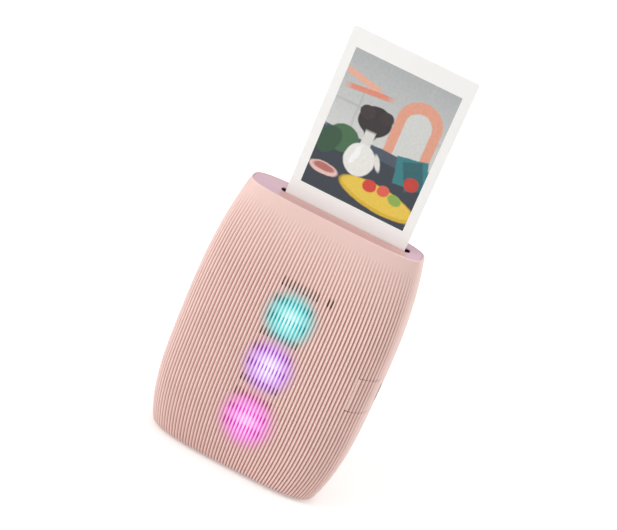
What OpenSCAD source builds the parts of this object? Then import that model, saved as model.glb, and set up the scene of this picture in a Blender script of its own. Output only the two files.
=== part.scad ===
// Compact instant-film photo printer, standing upright with a print in its slot.
// Millimetres. +Z is up, -Y is the front with the lights, +X is the side with the port.
// The origin is the middle of the underside.

/* [Body] */
// Distance from the chassis screws to the side of the body at its belly
side_room = 6.7; // [6.2:0.1:10]
// Distance from the film cartridge to the back of the body at its belly
back_room = 8.7; // [8.4:0.1:12]
// Height of the belly, where the body is widest
belly_z = 52.2; // [44:0.2:58]
// How much narrower the flat top is than the belly
top_taper_w = 12.4; // [8:0.2:16]
// How much less deep the flat top is than the belly
top_taper_d = 20.4; // [17:0.1:22]
// How much narrower the underside is than the belly
bottom_taper_w = 13.2; // [8:0.2:18]
// How much less deep the underside is than the belly
bottom_taper_d = 9.9; // [6:0.1:14]
// Thickness of the shell walls
wall = 1.8; // [1.4:0.1:2]
// Gap between two pieces that lie beside each other
gap = 0.3; // [0.2:0.05:0.35]
// Rounding of the lower edge at the front and back
edge_round = 5; // [3:0.5:7]
// Squareness of the body's cross-section, 2 is an ellipse
squareness = 3.33; // [2.6:0.01:4]

/* [Ribs and light window] */
// Spacing of the ribs round the body
rib_pitch = 1.62; // [1.5:0.01:2.2]
// Depth of the grooves between the ribs
rib_depth = 0.45; // [0.2:0.05:0.6]
// Smooth band between the last rib and the parting line
smooth_band = 4; // [2:0.5:10]
// Distance from the top at which the ribs start
rib_start = 5.6; // [4:0.2:9]
// Length over which the ribs grow to their full depth
rib_fade = 7.4; // [5:0.2:12]
// Number of slot columns in the light window
slot_columns = 11; // [5:2:13]
// Number of slot rows in the light window
slot_rows = 10; // [6:1:11]
// Length of one light slot
slot_len = 3.3; // [2:0.1:4]
// Width of one light slot
slot_wide = 0.75; // [0.5:0.05:1]
// Distance from the top of the body to the uppermost row of slots
slot_drop = 29.6; // [26:0.2:34]
// Spacing of the slot rows
slot_row_pitch = 7.8; // [6.5:0.1:8]
// Distance from the uppermost slots down to the upper light
led_top_drop = 12.6; // [9:0.2:16]
// Distance from the uppermost slots down to the middle light
led_middle_drop = 36.8; // [32:0.2:41]
// Distance from the uppermost slots down to the lower light
led_bottom_drop = 64.7; // [60:0.1:70]

/* [Film] */
// Width of a film sheet
film_w = 54; // [52:0.5:56]
// Length of a film sheet
film_len = 86; // [84:0.5:88]
// Thickness of a film sheet
film_t = 0.7; // [0.5:0.1:0.8]
// Length of the print that is still inside the body
print_held = 8.6; // [7:0.2:12]
// Offset of the film from the middle of the body
film_x = 3.5; // [2.5:0.1:4]
// Length of the slot in the top beyond the width of the film
slot_play = 4.3; // [3:0.1:6]
// Front-to-back size of the slot in the top
slot_d = 3.1; // [2.6:0.1:4]
// Thickness of the film cartridge
cartridge_t = 12.4; // [11:0.2:13]

/* [Film door] */
// Height at which the door opening starts
door_z0 = 7.6; // [7.4:0.1:9]
// Width of the door opening beyond the film cartridge
door_play = 5; // [4:0.2:8]
// Radius of the door hinge pins
hinge_pin_r = 0.8; // [0.6:0.1:1]
// Distance between the two door hinges
hinge_spread = 42; // [36:1:44]

/* [Side cover and buttons] */
// Height of the middle of the port cover
port_z = 62.6; // [60:0.2:66]
// Height of the port cover
port_h = 16.3; // [15:0.1:18]
// Length of the port cover round the body, up to the parting plane
port_len = 18.48; // [16:0.01:19]
// Distance from the top of the body to the power button
power_drop = 46.6; // [42:0.2:50]
// Distance between the middles of the two side buttons
button_spread = 18; // [15:0.5:20]
// Length of a side button
button_len = 12; // [9:0.5:13]
// Width of a side button
button_w = 4.6; // [4:0.1:5]
// How far a button travels
button_travel = 0.6; // [0.4:0.1:0.8]

/* [Rollers and gears] */
// Gear tooth module
gear_m = 0.5; // [0.48:0.01:0.52]
// Thickness of a gear
gear_t = 1.6; // [1.2:0.1:1.8]
// Radius of the roller journals
journal_r = 1; // [0.8:0.05:1.2]
// Radial running clearance of shafts in their bores
run_fit = 0.05; // [0.03:0.01:0.08]

/* [Hidden] */

shell_pink = "#E3B8AF";
cap_mauve = "#D3AEBD";
dark_plastic = "#2B2A2D";
steel = "#B9BCC0";
board_green = "#2F6B4A";
fine = 32;
e = 0.01;

// ---- the body is built round a film sheet in its cartridge ----
cartridge_z = 8;
cartridge_wall = 1.2;
chamber_gap = 0.5;
chassis_t = 1.2;
film_y = -0.9;
side_t = 0.9;
screw_out = 2.9;
cartridge_w = film_w + 7;
cartridge_h = film_len + 4;
cartridge_z1 = cartridge_z + cartridge_h;
chassis_z1 = cartridge_z1 + chamber_gap + chassis_t;
rollers_above_chassis = 18.3;
top_above_rollers = 7.6;
roller_z = chassis_z1 + rollers_above_chassis;
body_h = roller_z + top_above_rollers;
chassis_x1 = film_x + cartridge_w / 2 + chamber_gap + side_t;
cartridge_y0 = film_y - film_t / 2 - cartridge_wall;
cartridge_y1 = cartridge_y0 + cartridge_t;
body_w = 2 * (chassis_x1 + screw_out + side_room);
body_d = 2 * (cartridge_y1 + back_room);
top_w = body_w - top_taper_w;
top_d = body_d - top_taper_d;
bottom_w = body_w - bottom_taper_w;
bottom_d = body_d - bottom_taper_d;
slot_top_z = body_h - slot_drop;
led_top_z = slot_top_z - led_top_drop;
led_middle_z = slot_top_z - led_middle_drop;
led_bottom_z = slot_top_z - led_bottom_drop;
slot_w = film_w + slot_play;
power_z = body_h - power_drop;
function_z = power_z - button_spread;

// ---- the outline of the body: every shell piece is cut from it ----
top_curve_w = 2.93;
top_curve_d = 2.24;
bottom_curve_w = 3.07;
bottom_curve_d = 2.19;
edge_round_w = edge_round / 2;

// how far a rounded lower edge of radius r stands back at height z
function edge_in(z, r) = z < r ? r - sqrt(r * r - (r - z) * (r - z)) : 0;
function above(z) = max(0, (z - belly_z) / (body_h - belly_z));
function below(z) = max(0, (belly_z - z) / belly_z);
function half_w(z) = body_w / 2 - (body_w - top_w) / 2 * pow(above(z), top_curve_w)
    - (body_w - bottom_w) / 2 * pow(below(z), bottom_curve_w) - edge_in(z, edge_round_w);
function half_d(z) = body_d / 2 - (body_d - top_d) / 2 * pow(above(z), top_curve_d)
    - (body_d - bottom_d) / 2 * pow(below(z), bottom_curve_d) - edge_in(z, edge_round);

// a point of the unit cross-section; angle 0 is the front middle, 90 the +X side
function unit(a) =
    let (k = pow(pow(abs(sin(a)), squareness) + pow(abs(cos(a)), squareness), -1 / squareness))
    [sin(a) * k, -cos(a) * k];
function on_body(a, z, inset) =
    [(half_w(z) - inset) * unit(a)[0], (half_d(z) - inset) * unit(a)[1], z];

// distance round the belly from the front middle, against the angle
arc_step = 1.5;
function belly_step(a) = norm(on_body(a + arc_step, belly_z, 0) - on_body(a, belly_z, 0));
ARC = [for (a = 0, s = 0; a <= 90; s = s + belly_step(a), a = a + arc_step) [s, a]];
quarter_arc = ARC[len(ARC) - 1][0];
function arc_angle(s) = sign(s) * lookup(abs(s), ARC);
function depth_at(x, z) =
    half_d(z) * pow(max(0, 1 - pow(abs(x) / half_w(z), squareness)), 1 / squareness);

// ---- ribs ----
rib_count = floor((quarter_arc - smooth_band) / rib_pitch);
rib_flank = 0.3;
function groove(z) = rib_depth * min(1, max(0, (body_h - rib_start - z) / rib_fade));
// [distance round the body, 1 in a groove or 0 on a rib], from -X to +X
RIBS = [for (i = [-rib_count : rib_count], k = [-1 : 1])
    [(i + k * rib_flank) * rib_pitch, k == 0 ? 1 : 0]];
SIDE = [for (k = [0.35, 0.7, 1]) (rib_count + rib_flank) * rib_pitch * (1 - k) + quarter_arc * k];
function ribs_between(s0, s1) = [for (r = RIBS) if (r[0] > s0 && r[0] < s1) r];
FRONT = concat([for (i = [len(SIDE) - 1 : -1 : 0]) [-SIDE[i], 0]], RIBS, [for (s = SIDE) [s, 0]]);

LEVELS = concat([0, 0.16 * edge_round, 0.6 * edge_round],
    [for (k = [0.1, 0.24, 0.4, 0.55, 0.69, 0.81]) k * body_h],
    [body_h - rib_start - rib_fade, body_h - rib_start, body_h]);
COARSE = concat([0, 0.16 * edge_round, 0.6 * edge_round],
    [for (k = [0.1, 0.24, 0.4, 0.55, 0.69, 0.81, 0.9, 1]) k * body_h]);

// a closed solid through a stack of rings that all have the same number of points
module loft(rings) {
    n = len(rings[0]);
    m = len(rings);
    polyhedron(
        points = [for (r = rings, p = r) p],
        faces = concat(
            [[for (i = [0 : n - 1]) i]],
            [for (j = [0 : m - 2], i = [0 : n - 1])
                [j * n + i, (j + 1) * n + i, (j + 1) * n + (i + 1) % n, j * n + (i + 1) % n]],
            [[for (i = [n - 1 : -1 : 0]) (m - 1) * n + i]]
        ),
        convexity = 4
    );
}

function smooth_ring(z, inset, steps) =
    [for (i = [0 : steps - 1]) on_body(-90 + i * 360 / steps, z, inset)];
module smooth_body(inset, steps, levels) {
    loft([for (z = levels) smooth_ring(z, inset, steps)]);
}
module ribbed_body() {
    back = [for (i = [1 : 11]) 90 + i * 15];
    loft([for (z = LEVELS) concat(
        [for (r = FRONT) on_body(arc_angle(r[0]), z, r[1] * groove(z))],
        [for (a = back) on_body(a, z, 0)])]);
}
// the hollow inside the walls, from the floor up to just under the top cap
inner_levels = concat([wall, wall + 0.16 * edge_round, wall + 0.6 * edge_round],
    [for (k = [0.1, 0.24, 0.4, 0.55, 0.69, 0.81, 0.91]) k * body_h], [body_h, body_h + 1]);
module hollow() {
    loft([for (z = inner_levels) smooth_ring(min(z, body_h), wall, 40)
        - [for (i = [1 : 40]) [0, 0, z > body_h ? body_h - z : 0]]]);
}

// a box given by its two opposite corners
module block(a, b) {
    translate(a) cube(b - a);
}
// a cylinder along X, Y or Z between two values
module rod_x(x0, x1, y, z, r, fn = fine) {
    translate([x0, y, z]) rotate([0, 90, 0]) cylinder(r = r, h = x1 - x0, $fn = fn);
}
module rod_y(y0, y1, x, z, r, fn = fine) {
    translate([x, y0, z]) rotate([-90, 0, 0]) cylinder(r = r, h = y1 - y0, $fn = fn);
}
module rod_z(z0, z1, x, y, r, fn = fine) {
    translate([x, y, z0]) cylinder(r = r, h = z1 - z0, $fn = fn);
}
// a flat outline in the Y-Z plane, made x1 - x0 thick
module plate_x(x0, x1) {
    translate([x0, 0, 0]) rotate([90, 0, 90]) linear_extrude(x1 - x0) children();
}
// a box with round corners in the X-Z plane, running along Y
module door_prism(x0, x1, z0, z1, r, y0, y1) {
    translate([0, y1, 0]) rotate([90, 0, 0]) linear_extrude(y1 - y0)
        union() {
            translate([x0 + r, z0]) square([x1 - x0 - 2 * r, z1 - z0]);
            translate([x0, z0 + r]) square([x1 - x0, z1 - z0 - 2 * r]);
            for (x = [x0 + r, x1 - r], z = [z0 + r, z1 - r])
                translate([x, z]) circle(r = r, $fn = 24);
        }
}

// ---- top cap and slot ----
cap_t = 1.8;
rim = 0.5;
cap_z = body_h - cap_t;

// ---- film path ----
film_x0 = film_x - film_w / 2;
film_x1 = film_x + film_w / 2;
print_z = body_h - print_held;

// ---- cartridge and its chamber ----
cartridge_x0 = film_x - cartridge_w / 2;
cartridge_x1 = film_x + cartridge_w / 2;
cartridge_bevel = 3;
claw_w = 3;
claw_len = 22;
claw_travel = 5;
claw_x = film_x0 + 2;
claw_z = cartridge_z + 0.3;
claw_stop_z = claw_z + claw_len + claw_travel + 3;
window_h = film_len - 23;
window_w = film_w - 7;
chassis_y1 = cartridge_y0 - chamber_gap;
chassis_y0 = chassis_y1 - chassis_t;
chassis_x0 = cartridge_x0 - chamber_gap - side_t;
chassis_z0 = cartridge_z - chamber_gap - chassis_t;
chassis_back = 6.5;

// ---- screws that hold the chassis in the front shell ----
screw_r = 0.9;
screw_head_r = 1.7;
boss_r = 2.2;
ear_half = 2.4;
SCREWS = [for (x = [chassis_x0 - screw_out, chassis_x1 + screw_out], z = [22, chassis_z1 - 11.7]) [x, z]];

// ---- film door ----
door_gap = gap;
door_w = cartridge_w + door_play;
door_z1 = chassis_z1 + 3.3;
door_x0 = film_x - door_w / 2;
door_x1 = film_x + door_w / 2;
door_corner = 4;
hinge_z = door_z0 - 1.6;
hinge_y = half_d(door_z0) - 0.6;
knuckle_r = 1.5;
lug_half = 3;
ear_t = 1.6;
ear_gap = 0.25;
lug_t = 1.15;
seat_y = cartridge_y1 + 0.35 + lug_t;
HINGES = [for (s = [-1, 1]) film_x + s * hinge_spread / 2];
notch_half = lug_half + ear_gap + ear_t + gap;
ear_y1 = depth_at(film_x + hinge_spread / 2 + notch_half, wall) - wall - gap;
latch_w = 11;
latch_h = 6;
latch_z = door_z1 - 9;
latch_travel = 2.4;
latch_y = half_d(latch_z);

// the window that shows how many sheets are left
door_window_half = 8;
door_window_z = 52;
door_window_h = 22;
door_window_r = 2;
pad_half = 4;
pad_spread = 15;

// ---- port cover ----
cover_t = 1.8;
port_arc = quarter_arc - port_len;
cover_z0 = port_z - port_h / 2;
cover_z1 = port_z + port_h / 2;
cover_gap = 0.25;
cover_end = quarter_arc - 0.6;
cover_pin_r = 0.35;
cover_knuckle_r = cover_t / 2;
// hinge axis of the cover, in the middle of the wall's thickness
cover_axis = on_body(arc_angle(port_arc + cover_knuckle_r), port_z, cover_knuckle_r + rib_depth * 0.4);
nail_arc = quarter_arc - 4;
nail_half = 0.35;
nail_deep = 0.7;
nail_h = 7.8;

// ---- rollers and gears: places are [y, z] in planes across X ----
roller_teeth = 12;
small_teeth = 12;
upper_teeth = 18;
lower_teeth = 20;
pinion_teeth = 8;
function pitch_r(n) = n * gear_m / 2;
nip_gap = film_t + 0.3;
roller_r = pitch_r(roller_teeth) - nip_gap / 2;
front_pos = [film_y - pitch_r(roller_teeth), roller_z];
rear_pos = [film_y + pitch_r(roller_teeth), roller_z];
upper_dir = -82.3;
lower_dir = -46.6;
motor_dir = 60;
function polar(r, a) = [r * cos(a), r * sin(a)];
upper_pos = front_pos + polar(pitch_r(roller_teeth + small_teeth), upper_dir);
lower_pos = upper_pos + polar(pitch_r(upper_teeth + small_teeth), lower_dir);
motor_pos = lower_pos + polar(pitch_r(lower_teeth + pinion_teeth), motor_dir);
// phase of the gear that meshes with one of phase p; dir points from the first to the second
function mesh_phase(p, n_first, n_second, dir) =
    dir + 180 - (p - dir) * n_first / n_second + 180 / n_second;
rear_phase = mesh_phase(0, roller_teeth, roller_teeth, 0);
upper_phase = mesh_phase(0, roller_teeth, small_teeth, upper_dir);
lower_phase = mesh_phase(0, upper_teeth, small_teeth, lower_dir);
pinion_phase = mesh_phase(0, lower_teeth, pinion_teeth, motor_dir);

plate_t = 1;
gear_gap = 0.4;
plate_x1 = film_x0 - 1.2;
plate_x0 = plate_x1 - plate_t;
right_x0 = film_x1 + 1.2;
plane_a = plate_x0 - gear_gap - gear_t;
plane_b = plane_a - gear_gap - gear_t;
plane_c = plane_b - gear_gap - gear_t;
cover_plate_x1 = plane_c - gear_gap;
cover_plate_x0 = cover_plate_x1 - 0.8;
gear_pin_r = 0.6;
bush_r = journal_r + 0.7;
bush_flange = 0.4;
roller_x0 = plate_x1 + bush_flange + gap;
roller_x1 = right_x0 - bush_flange - gap;
foot_t = 1;
plate_round = bush_r + 0.6;
foot_y = film_y + 1.3;

// ---- boards and lights ----
board_t = 1.2;
board_y1 = chassis_y0 - 1.4;
board_y0 = board_y1 - board_t;
board_x0 = SCREWS[0][0] + boss_r + 0.6;
board_x1 = chassis_x1 - 1.9;
board_z0 = 12;
board_z1 = chassis_z1 - 2.7;
led_board_y = board_y0 - 3.6;
led_t = 1.2;
led_size = 5;
guide_t = 1.2;
guide_half = 10;
guide_z0 = slot_top_z - (slot_rows - 1) * slot_row_pitch - 5.8;
guide_z1 = slot_top_z + 5;
holder_half = 7.6;
usb_w = 8.9;
usb_h = 3.2;
usb_len = 7.3;
usb_x1 = half_w(port_z) - cover_t - 3.3;
usb_y = -7.4;
well_t = 1.2;
well_x0 = usb_x1 - well_t;
button_y = 4.9;
button_face = -half_w(belly_z) + 0.15;
button_t = 3.9;
button_stem = 2.4;
button_flange = 0.8;
button_flange_wide = 0.6;
switch_t = 1.9;
side_board_x = button_face + button_t + button_flange + switch_t + 0.75;

// ================= housing =================
module port_opening() {
    block([cover_axis[0] - cover_knuckle_r - cover_gap, -body_d, cover_z0 - cover_gap],
        [body_w, 0, cover_z1 + cover_gap]);
}
module front_shell() {
    color(shell_pink)
    resize([0, 0, 0])
    difference() {
        union() {
            difference() {
                intersection() {
                    ribbed_body();
                    block([-body_w, -body_d, -1], [body_w, 0, body_h + 1]);
                }
                hollow();
                cap_seat();
                port_opening();
            }
            intersection() {
                for (s = SCREWS) rod_y(-body_d / 2, chassis_y0, s[0], s[1], boss_r, 20);
                smooth_body(1, 40, COARSE);
            }
        }
        for (s = SCREWS) rod_y(chassis_y0 - 7, chassis_y0 + 1, s[0], s[1], screw_r, 12);
        light_slots();
        for (z = [cover_z0 - cover_gap - 1.2, cover_z1 + cover_gap - e])
            rod_z(z, z + 1.2 + e, cover_axis[0], cover_axis[1], cover_pin_r + run_fit, 16);
    }
}
module light_slots() {
    half = (slot_columns - 1) / 2;
    for (row = [0 : slot_rows - 1], col = [-half : half]) light_slot(col, row);
    for (col = [half + 3, half + 4]) light_slot(col, 0);
}
module light_slot(col, row) {
    x = half_w(belly_z) * unit(arc_angle(col * rib_pitch))[0];
    z = slot_top_z - row * slot_row_pitch;
    translate([x * half_w(z) / half_w(belly_z), 0, z])
        translate([-slot_wide / 2, -body_d, -slot_len / 2])
        cube([slot_wide, body_d - 8, slot_len]);
}
// the outline of the flat top, drawn in by inset and standing between two heights
module top_slab(z0, z1, inset) {
    outline = smooth_ring(body_h, inset, 48);
    loft([for (z = [z0, z1]) [for (p = outline) [p[0], p[1], z]]]);
}
// the cap drops into the top of both shells and leaves a thin rim round it
module cap_seat() {
    top_slab(cap_z, body_h + 1, rim);
}
module rear_shell() {
    color(shell_pink)
    resize([0, 0, 0])
    difference() {
        intersection() {
            smooth_body(0, 48, COARSE);
            block([-body_w, 0, -1], [body_w, body_d, body_h + 1]);
        }
        hollow();
        cap_seat();
        door_prism(door_x0, door_x1, door_z0, door_z1, door_corner, 5, body_d);
        for (x = HINGES)
            block([x - notch_half, seat_y - 4, hinge_z - knuckle_r - gap],
                [x + notch_half, body_d, door_z0 + 1]);
        for (z = [power_z, function_z]) button_hole(z);
    }
}
module button_outline(grow) {
    union() {
        square([button_w + 2 * grow, button_len - button_w], center = true);
        for (s = [-1, 1]) translate([0, s * (button_len - button_w) / 2])
            circle(r = button_w / 2 + grow, $fn = fine);
    }
}
module button_hole(z) {
    plate_x(-body_w / 2 - 2, -body_w / 2 + 8) translate([button_y, z]) button_outline(gap * 0.7);
}
module top_cap() {
    color(cap_mauve)
    resize([0, 0, 0])
    difference() {
        top_slab(cap_z + 0.05, body_h, rim + 0.1);
        block([film_x - slot_w / 2, -slot_d / 2, cap_z - 1],
            [film_x + slot_w / 2, slot_d / 2, body_h + 1]);
    }
}

// ================= chassis =================
module chassis() {
    window_x = window_w / 2 + 1;
    color(dark_plastic)
    difference() {
        union() {
            block([chassis_x0, chassis_y0, chassis_z0], [chassis_x1, chassis_y1, chassis_z1]);
            for (s = SCREWS) block([min(s[0] - ear_half, chassis_x1 - e), chassis_y0, s[1] - 3],
                [max(s[0] + ear_half, chassis_x0 + e), chassis_y1, s[1] + 3]);
            block([chassis_x1 - e, chassis_y0, port_z - 7], [usb_x1, chassis_y1, port_z + 7]);
            for (x = [claw_x - 1.2, claw_x + claw_w + 0.2])
                block([x, chassis_y0 - 1.2, claw_z + 5], [x + 1, chassis_y0 + e, claw_stop_z]);
            block([claw_x - 1.2, chassis_y0 - 1.2, claw_stop_z - e],
                [claw_x + claw_w + 1.2, chassis_y0 + e, claw_stop_z + 1.2]);
            block([chassis_x0, chassis_y1, chassis_z0], [chassis_x0 + side_t, chassis_back, chassis_z1]);
            block([chassis_x1 - side_t, chassis_y1, chassis_z0], [chassis_x1, chassis_back, chassis_z1]);
            block([chassis_x0, chassis_y1, chassis_z0], [chassis_x1, chassis_back, chassis_z0 + chassis_t]);
            block([chassis_x0, chassis_y1, chassis_z1 - chassis_t], [chassis_x1, chassis_back, chassis_z1]);
            block([film_x - 22, chassis_y0, wall + 0.05], [film_x + 22, chassis_y1 + 6, chassis_z0]);
            for (x = [chassis_x0 + 3, chassis_x1 - 9])
                block([x, chassis_y1, chassis_z1 - e], [x + 6, chassis_back - 3, chassis_z1 + 1.2]);
        }
        block([film_x - window_x, chassis_y0 - 1, cartridge_z + 12],
            [film_x + window_x, chassis_y1 + e, cartridge_z + 12 + window_h + 2]);
        block([film_x0 - 1, film_y - 1.1, chassis_z1 - chassis_t - 1],
            [film_x1 + 1, film_y + 1.1, chassis_z1 + 2]);
        block([film_x0 + 1, chassis_y1 + 1.2, chassis_z1 - chassis_t - 1],
            [film_x0 + 8, film_y + 3, chassis_z1 + 2]);
        block([claw_x - 0.4, chassis_y0 - 0.1, claw_z - 0.6],
            [claw_x + claw_w + 0.4, chassis_y1 + e, claw_z + 3 + claw_travel]);
        for (s = SCREWS) rod_y(chassis_y0 - 1, chassis_y1 + 1, s[0], s[1], screw_r + 0.3);
    }
}
module chassis_screws() {
    color(steel)
    for (s = SCREWS) difference() {
        union() {
            rod_y(chassis_y0 - 6, chassis_y1 + 0.05, s[0], s[1], screw_r - 0.05);
            rod_y(chassis_y1 + 0.03, chassis_y1 + 1.2, s[0], s[1], screw_head_r);
        }
        block([s[0] - 1.1, chassis_y1 + 0.7, s[1] - 0.25], [s[0] + 1.1, chassis_y1 + 2, s[1] + 0.25]);
        block([s[0] - 0.25, chassis_y1 + 0.7, s[1] - 1.1], [s[0] + 0.25, chassis_y1 + 2, s[1] + 1.1]);
    }
}

// ================= film =================
module cartridge_outline(inset) {
    polygon([
        [cartridge_x0 + inset, cartridge_y0 + inset], [cartridge_x1 - inset, cartridge_y0 + inset],
        [cartridge_x1 - inset, cartridge_y1 - cartridge_bevel],
        [cartridge_x1 - cartridge_bevel, cartridge_y1 - inset],
        [cartridge_x0 + cartridge_bevel, cartridge_y1 - inset],
        [cartridge_x0 + inset, cartridge_y1 - cartridge_bevel]]);
}
module film_cartridge() {
    slit = film_t / 2 + 0.4;
    color(dark_plastic)
    difference() {
        translate([0, 0, cartridge_z]) linear_extrude(cartridge_h) cartridge_outline(0);
        translate([0, 0, cartridge_z + cartridge_wall]) linear_extrude(cartridge_h - 2 * cartridge_wall)
            cartridge_outline(cartridge_wall);
        block([film_x - window_w / 2, cartridge_y0 - 1, cartridge_z + 13],
            [film_x + window_w / 2, cartridge_y0 + cartridge_wall + e, cartridge_z + 13 + window_h]);
        block([film_x0 - 0.5, film_y - slit, cartridge_z1 - 2],
            [film_x1 + 0.5, film_y + slit, cartridge_z1 + 1]);
        block([claw_x - 0.6, cartridge_y0 - 1, cartridge_z - 1],
            [claw_x + claw_w + 0.6, cartridge_y0 + cartridge_wall + e, cartridge_z + 4 + claw_travel]);
        for (x = [-pad_spread, pad_spread])
            block([film_x + x - pad_half - 1, cartridge_y1 - 2, cartridge_z + 22],
                [film_x + x + pad_half + 1, cartridge_y1 + 1, cartridge_z + 62]);
    }
}
sheets = 9;
stack_y0 = film_y - film_t / 2;
module film_stack() {
    color("#E9E7E2")
    for (i = [0 : sheets - 1])
        block([film_x0, stack_y0 + i * film_t, cartridge_z + cartridge_wall + 0.4],
            [film_x1, stack_y0 + (i + 1) * film_t - 0.02, cartridge_z + cartridge_wall + 0.4 + film_len]);
}
// the dark plate behind the sheets that the door pads press through the cartridge's two windows
module cartridge_spring() {
    y0 = stack_y0 + sheets * film_t + 0.15;
    color(dark_plastic)
    union() {
        block([film_x0 + 1, y0, cartridge_z + 4], [film_x1 - 1, y0 + 0.8, cartridge_z1 - 4]);
        for (x = [-pad_spread, pad_spread])
            block([film_x + x - pad_half, y0 + 0.8 - e, cartridge_z + 26],
                [film_x + x + pad_half, cartridge_y1 - 1.4, cartridge_z + 58]);
    }
}
print_image_w = film_w - 8;
print_image_h = film_len - 24;
print_top_margin = 8;
module film_print() {
    r = 1.2;
    image_z = print_z + film_len - print_top_margin - print_image_h;
    color("#F2F0EE")
    difference() {
        door_prism(film_x0, film_x1, print_z, print_z + film_len, r,
            film_y - film_t / 2, film_y + film_t / 2);
        block([film_x - print_image_w / 2, film_y - film_t, image_z],
            [film_x + print_image_w / 2, film_y - film_t / 2 + 0.06, image_z + print_image_h]);
    }
}

// ================= film door =================
module door_inner_blocks() {
    for (x = HINGES)
        block([x - lug_half - 1, seat_y, door_z0], [x + lug_half + 1, body_d, door_z0 + 8]);
    block([film_x - latch_w / 2 - 2, latch_y - 5, latch_z - latch_h / 2 - latch_travel - 2],
        [film_x + latch_w / 2 + 2, body_d, door_z1]);
}
module film_door() {
    color(shell_pink)
    resize([0, 0, 0])
    difference() {
        intersection() {
            smooth_body(0, 60, COARSE);
            door_prism(door_x0 + door_gap, door_x1 - door_gap, door_z0 + door_gap, door_z1 - door_gap,
                door_corner - door_gap, 5, body_d);
        }
        difference() {
            hollow();
            door_inner_blocks();
        }
        block([film_x - latch_w / 2 - 0.3, latch_y - 3.2, latch_z - latch_h / 2 - latch_travel - 0.3],
            [film_x + latch_w / 2 + 0.3, body_d, latch_z + latch_h / 2 + 0.3]);
        block([film_x - 3.3, latch_y - 3.2, latch_z], [film_x + 3.3, latch_y - 1.6, door_z1]);
        door_window_prism(0.2);
    }
}
module door_window_prism(grow) {
    door_prism(film_x - door_window_half - grow, film_x + door_window_half + grow,
        door_window_z - grow, door_window_z + door_window_h + grow, door_window_r + grow, 8, body_d);
}
module door_window() {
    color([0.35, 0.2, 0.12, 0.6])
    resize([0, 0, 0])
    intersection() {
        difference() {
            smooth_body(0.25, 60, COARSE);
            smooth_body(wall - 0.2, 60, COARSE);
        }
        door_window_prism(0);
    }
}
module door_hinge_lugs() {
    color(dark_plastic)
    for (x = HINGES) difference() {
        union() {
            rod_x(x - lug_half, x + lug_half, hinge_y, hinge_z, knuckle_r);
            block([x - lug_half, seat_y - lug_t, hinge_z - 1.2], [x + lug_half, hinge_y, hinge_z + 1.2]);
            block([x - lug_half, seat_y - lug_t, hinge_z - 1.2],
                [x + lug_half, seat_y - 0.02, door_z0 + 7.5]);
        }
        rod_x(x - lug_half - 1, x + lug_half + 1, hinge_y, hinge_z, hinge_pin_r + run_fit);
    }
}
module door_hinge_ears() {
    color(dark_plastic)
    for (x = HINGES) union() {
        for (s = [-1, 1]) {
            x0 = s > 0 ? x + lug_half + ear_gap : x - lug_half - ear_gap - ear_t;
            difference() {
                union() {
                    rod_x(x0, x0 + ear_t, hinge_y, hinge_z, knuckle_r);
                    block([x0, chassis_back + 0.4, hinge_z - knuckle_r],
                        [x0 + ear_t, hinge_y, hinge_z + 0.4]);
                    block([x0, chassis_back + 0.4, wall + 0.05], [x0 + ear_t, ear_y1, hinge_z]);
                }
                rod_x(x0 - 1, x0 + ear_t + 1, hinge_y, hinge_z, hinge_pin_r + 0.02);
            }
        }
        block([x - lug_half - ear_gap - e, chassis_back + 0.4, wall + 0.05],
            [x + lug_half + ear_gap + e, ear_y1, wall + 0.85]);
    }
}
module door_hinge_pins() {
    reach = lug_half + ear_gap + ear_t;
    color(steel)
    for (x = HINGES) rod_x(x - reach, x + reach, hinge_y, hinge_z, hinge_pin_r);
}
// two pads on the inside of the door that press the sheets forward
pad_h = 28;
pad_z = cartridge_z + (cartridge_h - pad_h) / 2 - 3;
module door_pads() {
    color(dark_plastic)
    for (x = [-pad_spread, pad_spread])
        block([film_x + x - pad_half, cartridge_y1 - 1.1, pad_z],
            [film_x + x + pad_half, depth_at(film_x + pad_spread + pad_half, 45) - wall - 0.8,
                pad_z + pad_h]);
}
module door_latch() {
    z0 = latch_z - latch_h / 2;
    color(cap_mauve)
    union() {
        block([film_x - latch_w / 2, latch_y - 3, z0], [film_x + latch_w / 2, latch_y - 1, z0 + latch_h]);
        for (i = [0 : 3])
            block([film_x - latch_w / 2 + 1, latch_y - 1 - e, z0 + 0.7 + i * 1.3],
                [film_x + latch_w / 2 - 1, latch_y - 0.4, z0 + 1.4 + i * 1.3]);
        block([film_x - 3, latch_y - 3, z0 + latch_h - e],
            [film_x + 3, latch_y - 1.8, door_z1 - door_gap - 0.4]);
    }
}
module coil_z(x, y, z0, z1, r, wire, turns) {
    translate([x, y, z0 + wire]) union() for (i = [0 : turns - 1])
        translate([0, 0, i * (z1 - z0 - 2 * wire) / (turns - 1)])
            rotate_extrude($fn = 20) translate([r - wire, 0]) circle(r = wire, $fn = 14);
}
// the spring that returns the latch; it is drawn as its separate coils
module latch_spring() {
    z1 = latch_z - latch_h / 2 - 0.05;
    color(steel)
    for (x = [-3.4, 3.4])
        coil_z(film_x + x, latch_y - 2.1, z1 - latch_travel - 0.15, z1, 0.75, 0.16, 5);
}

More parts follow.
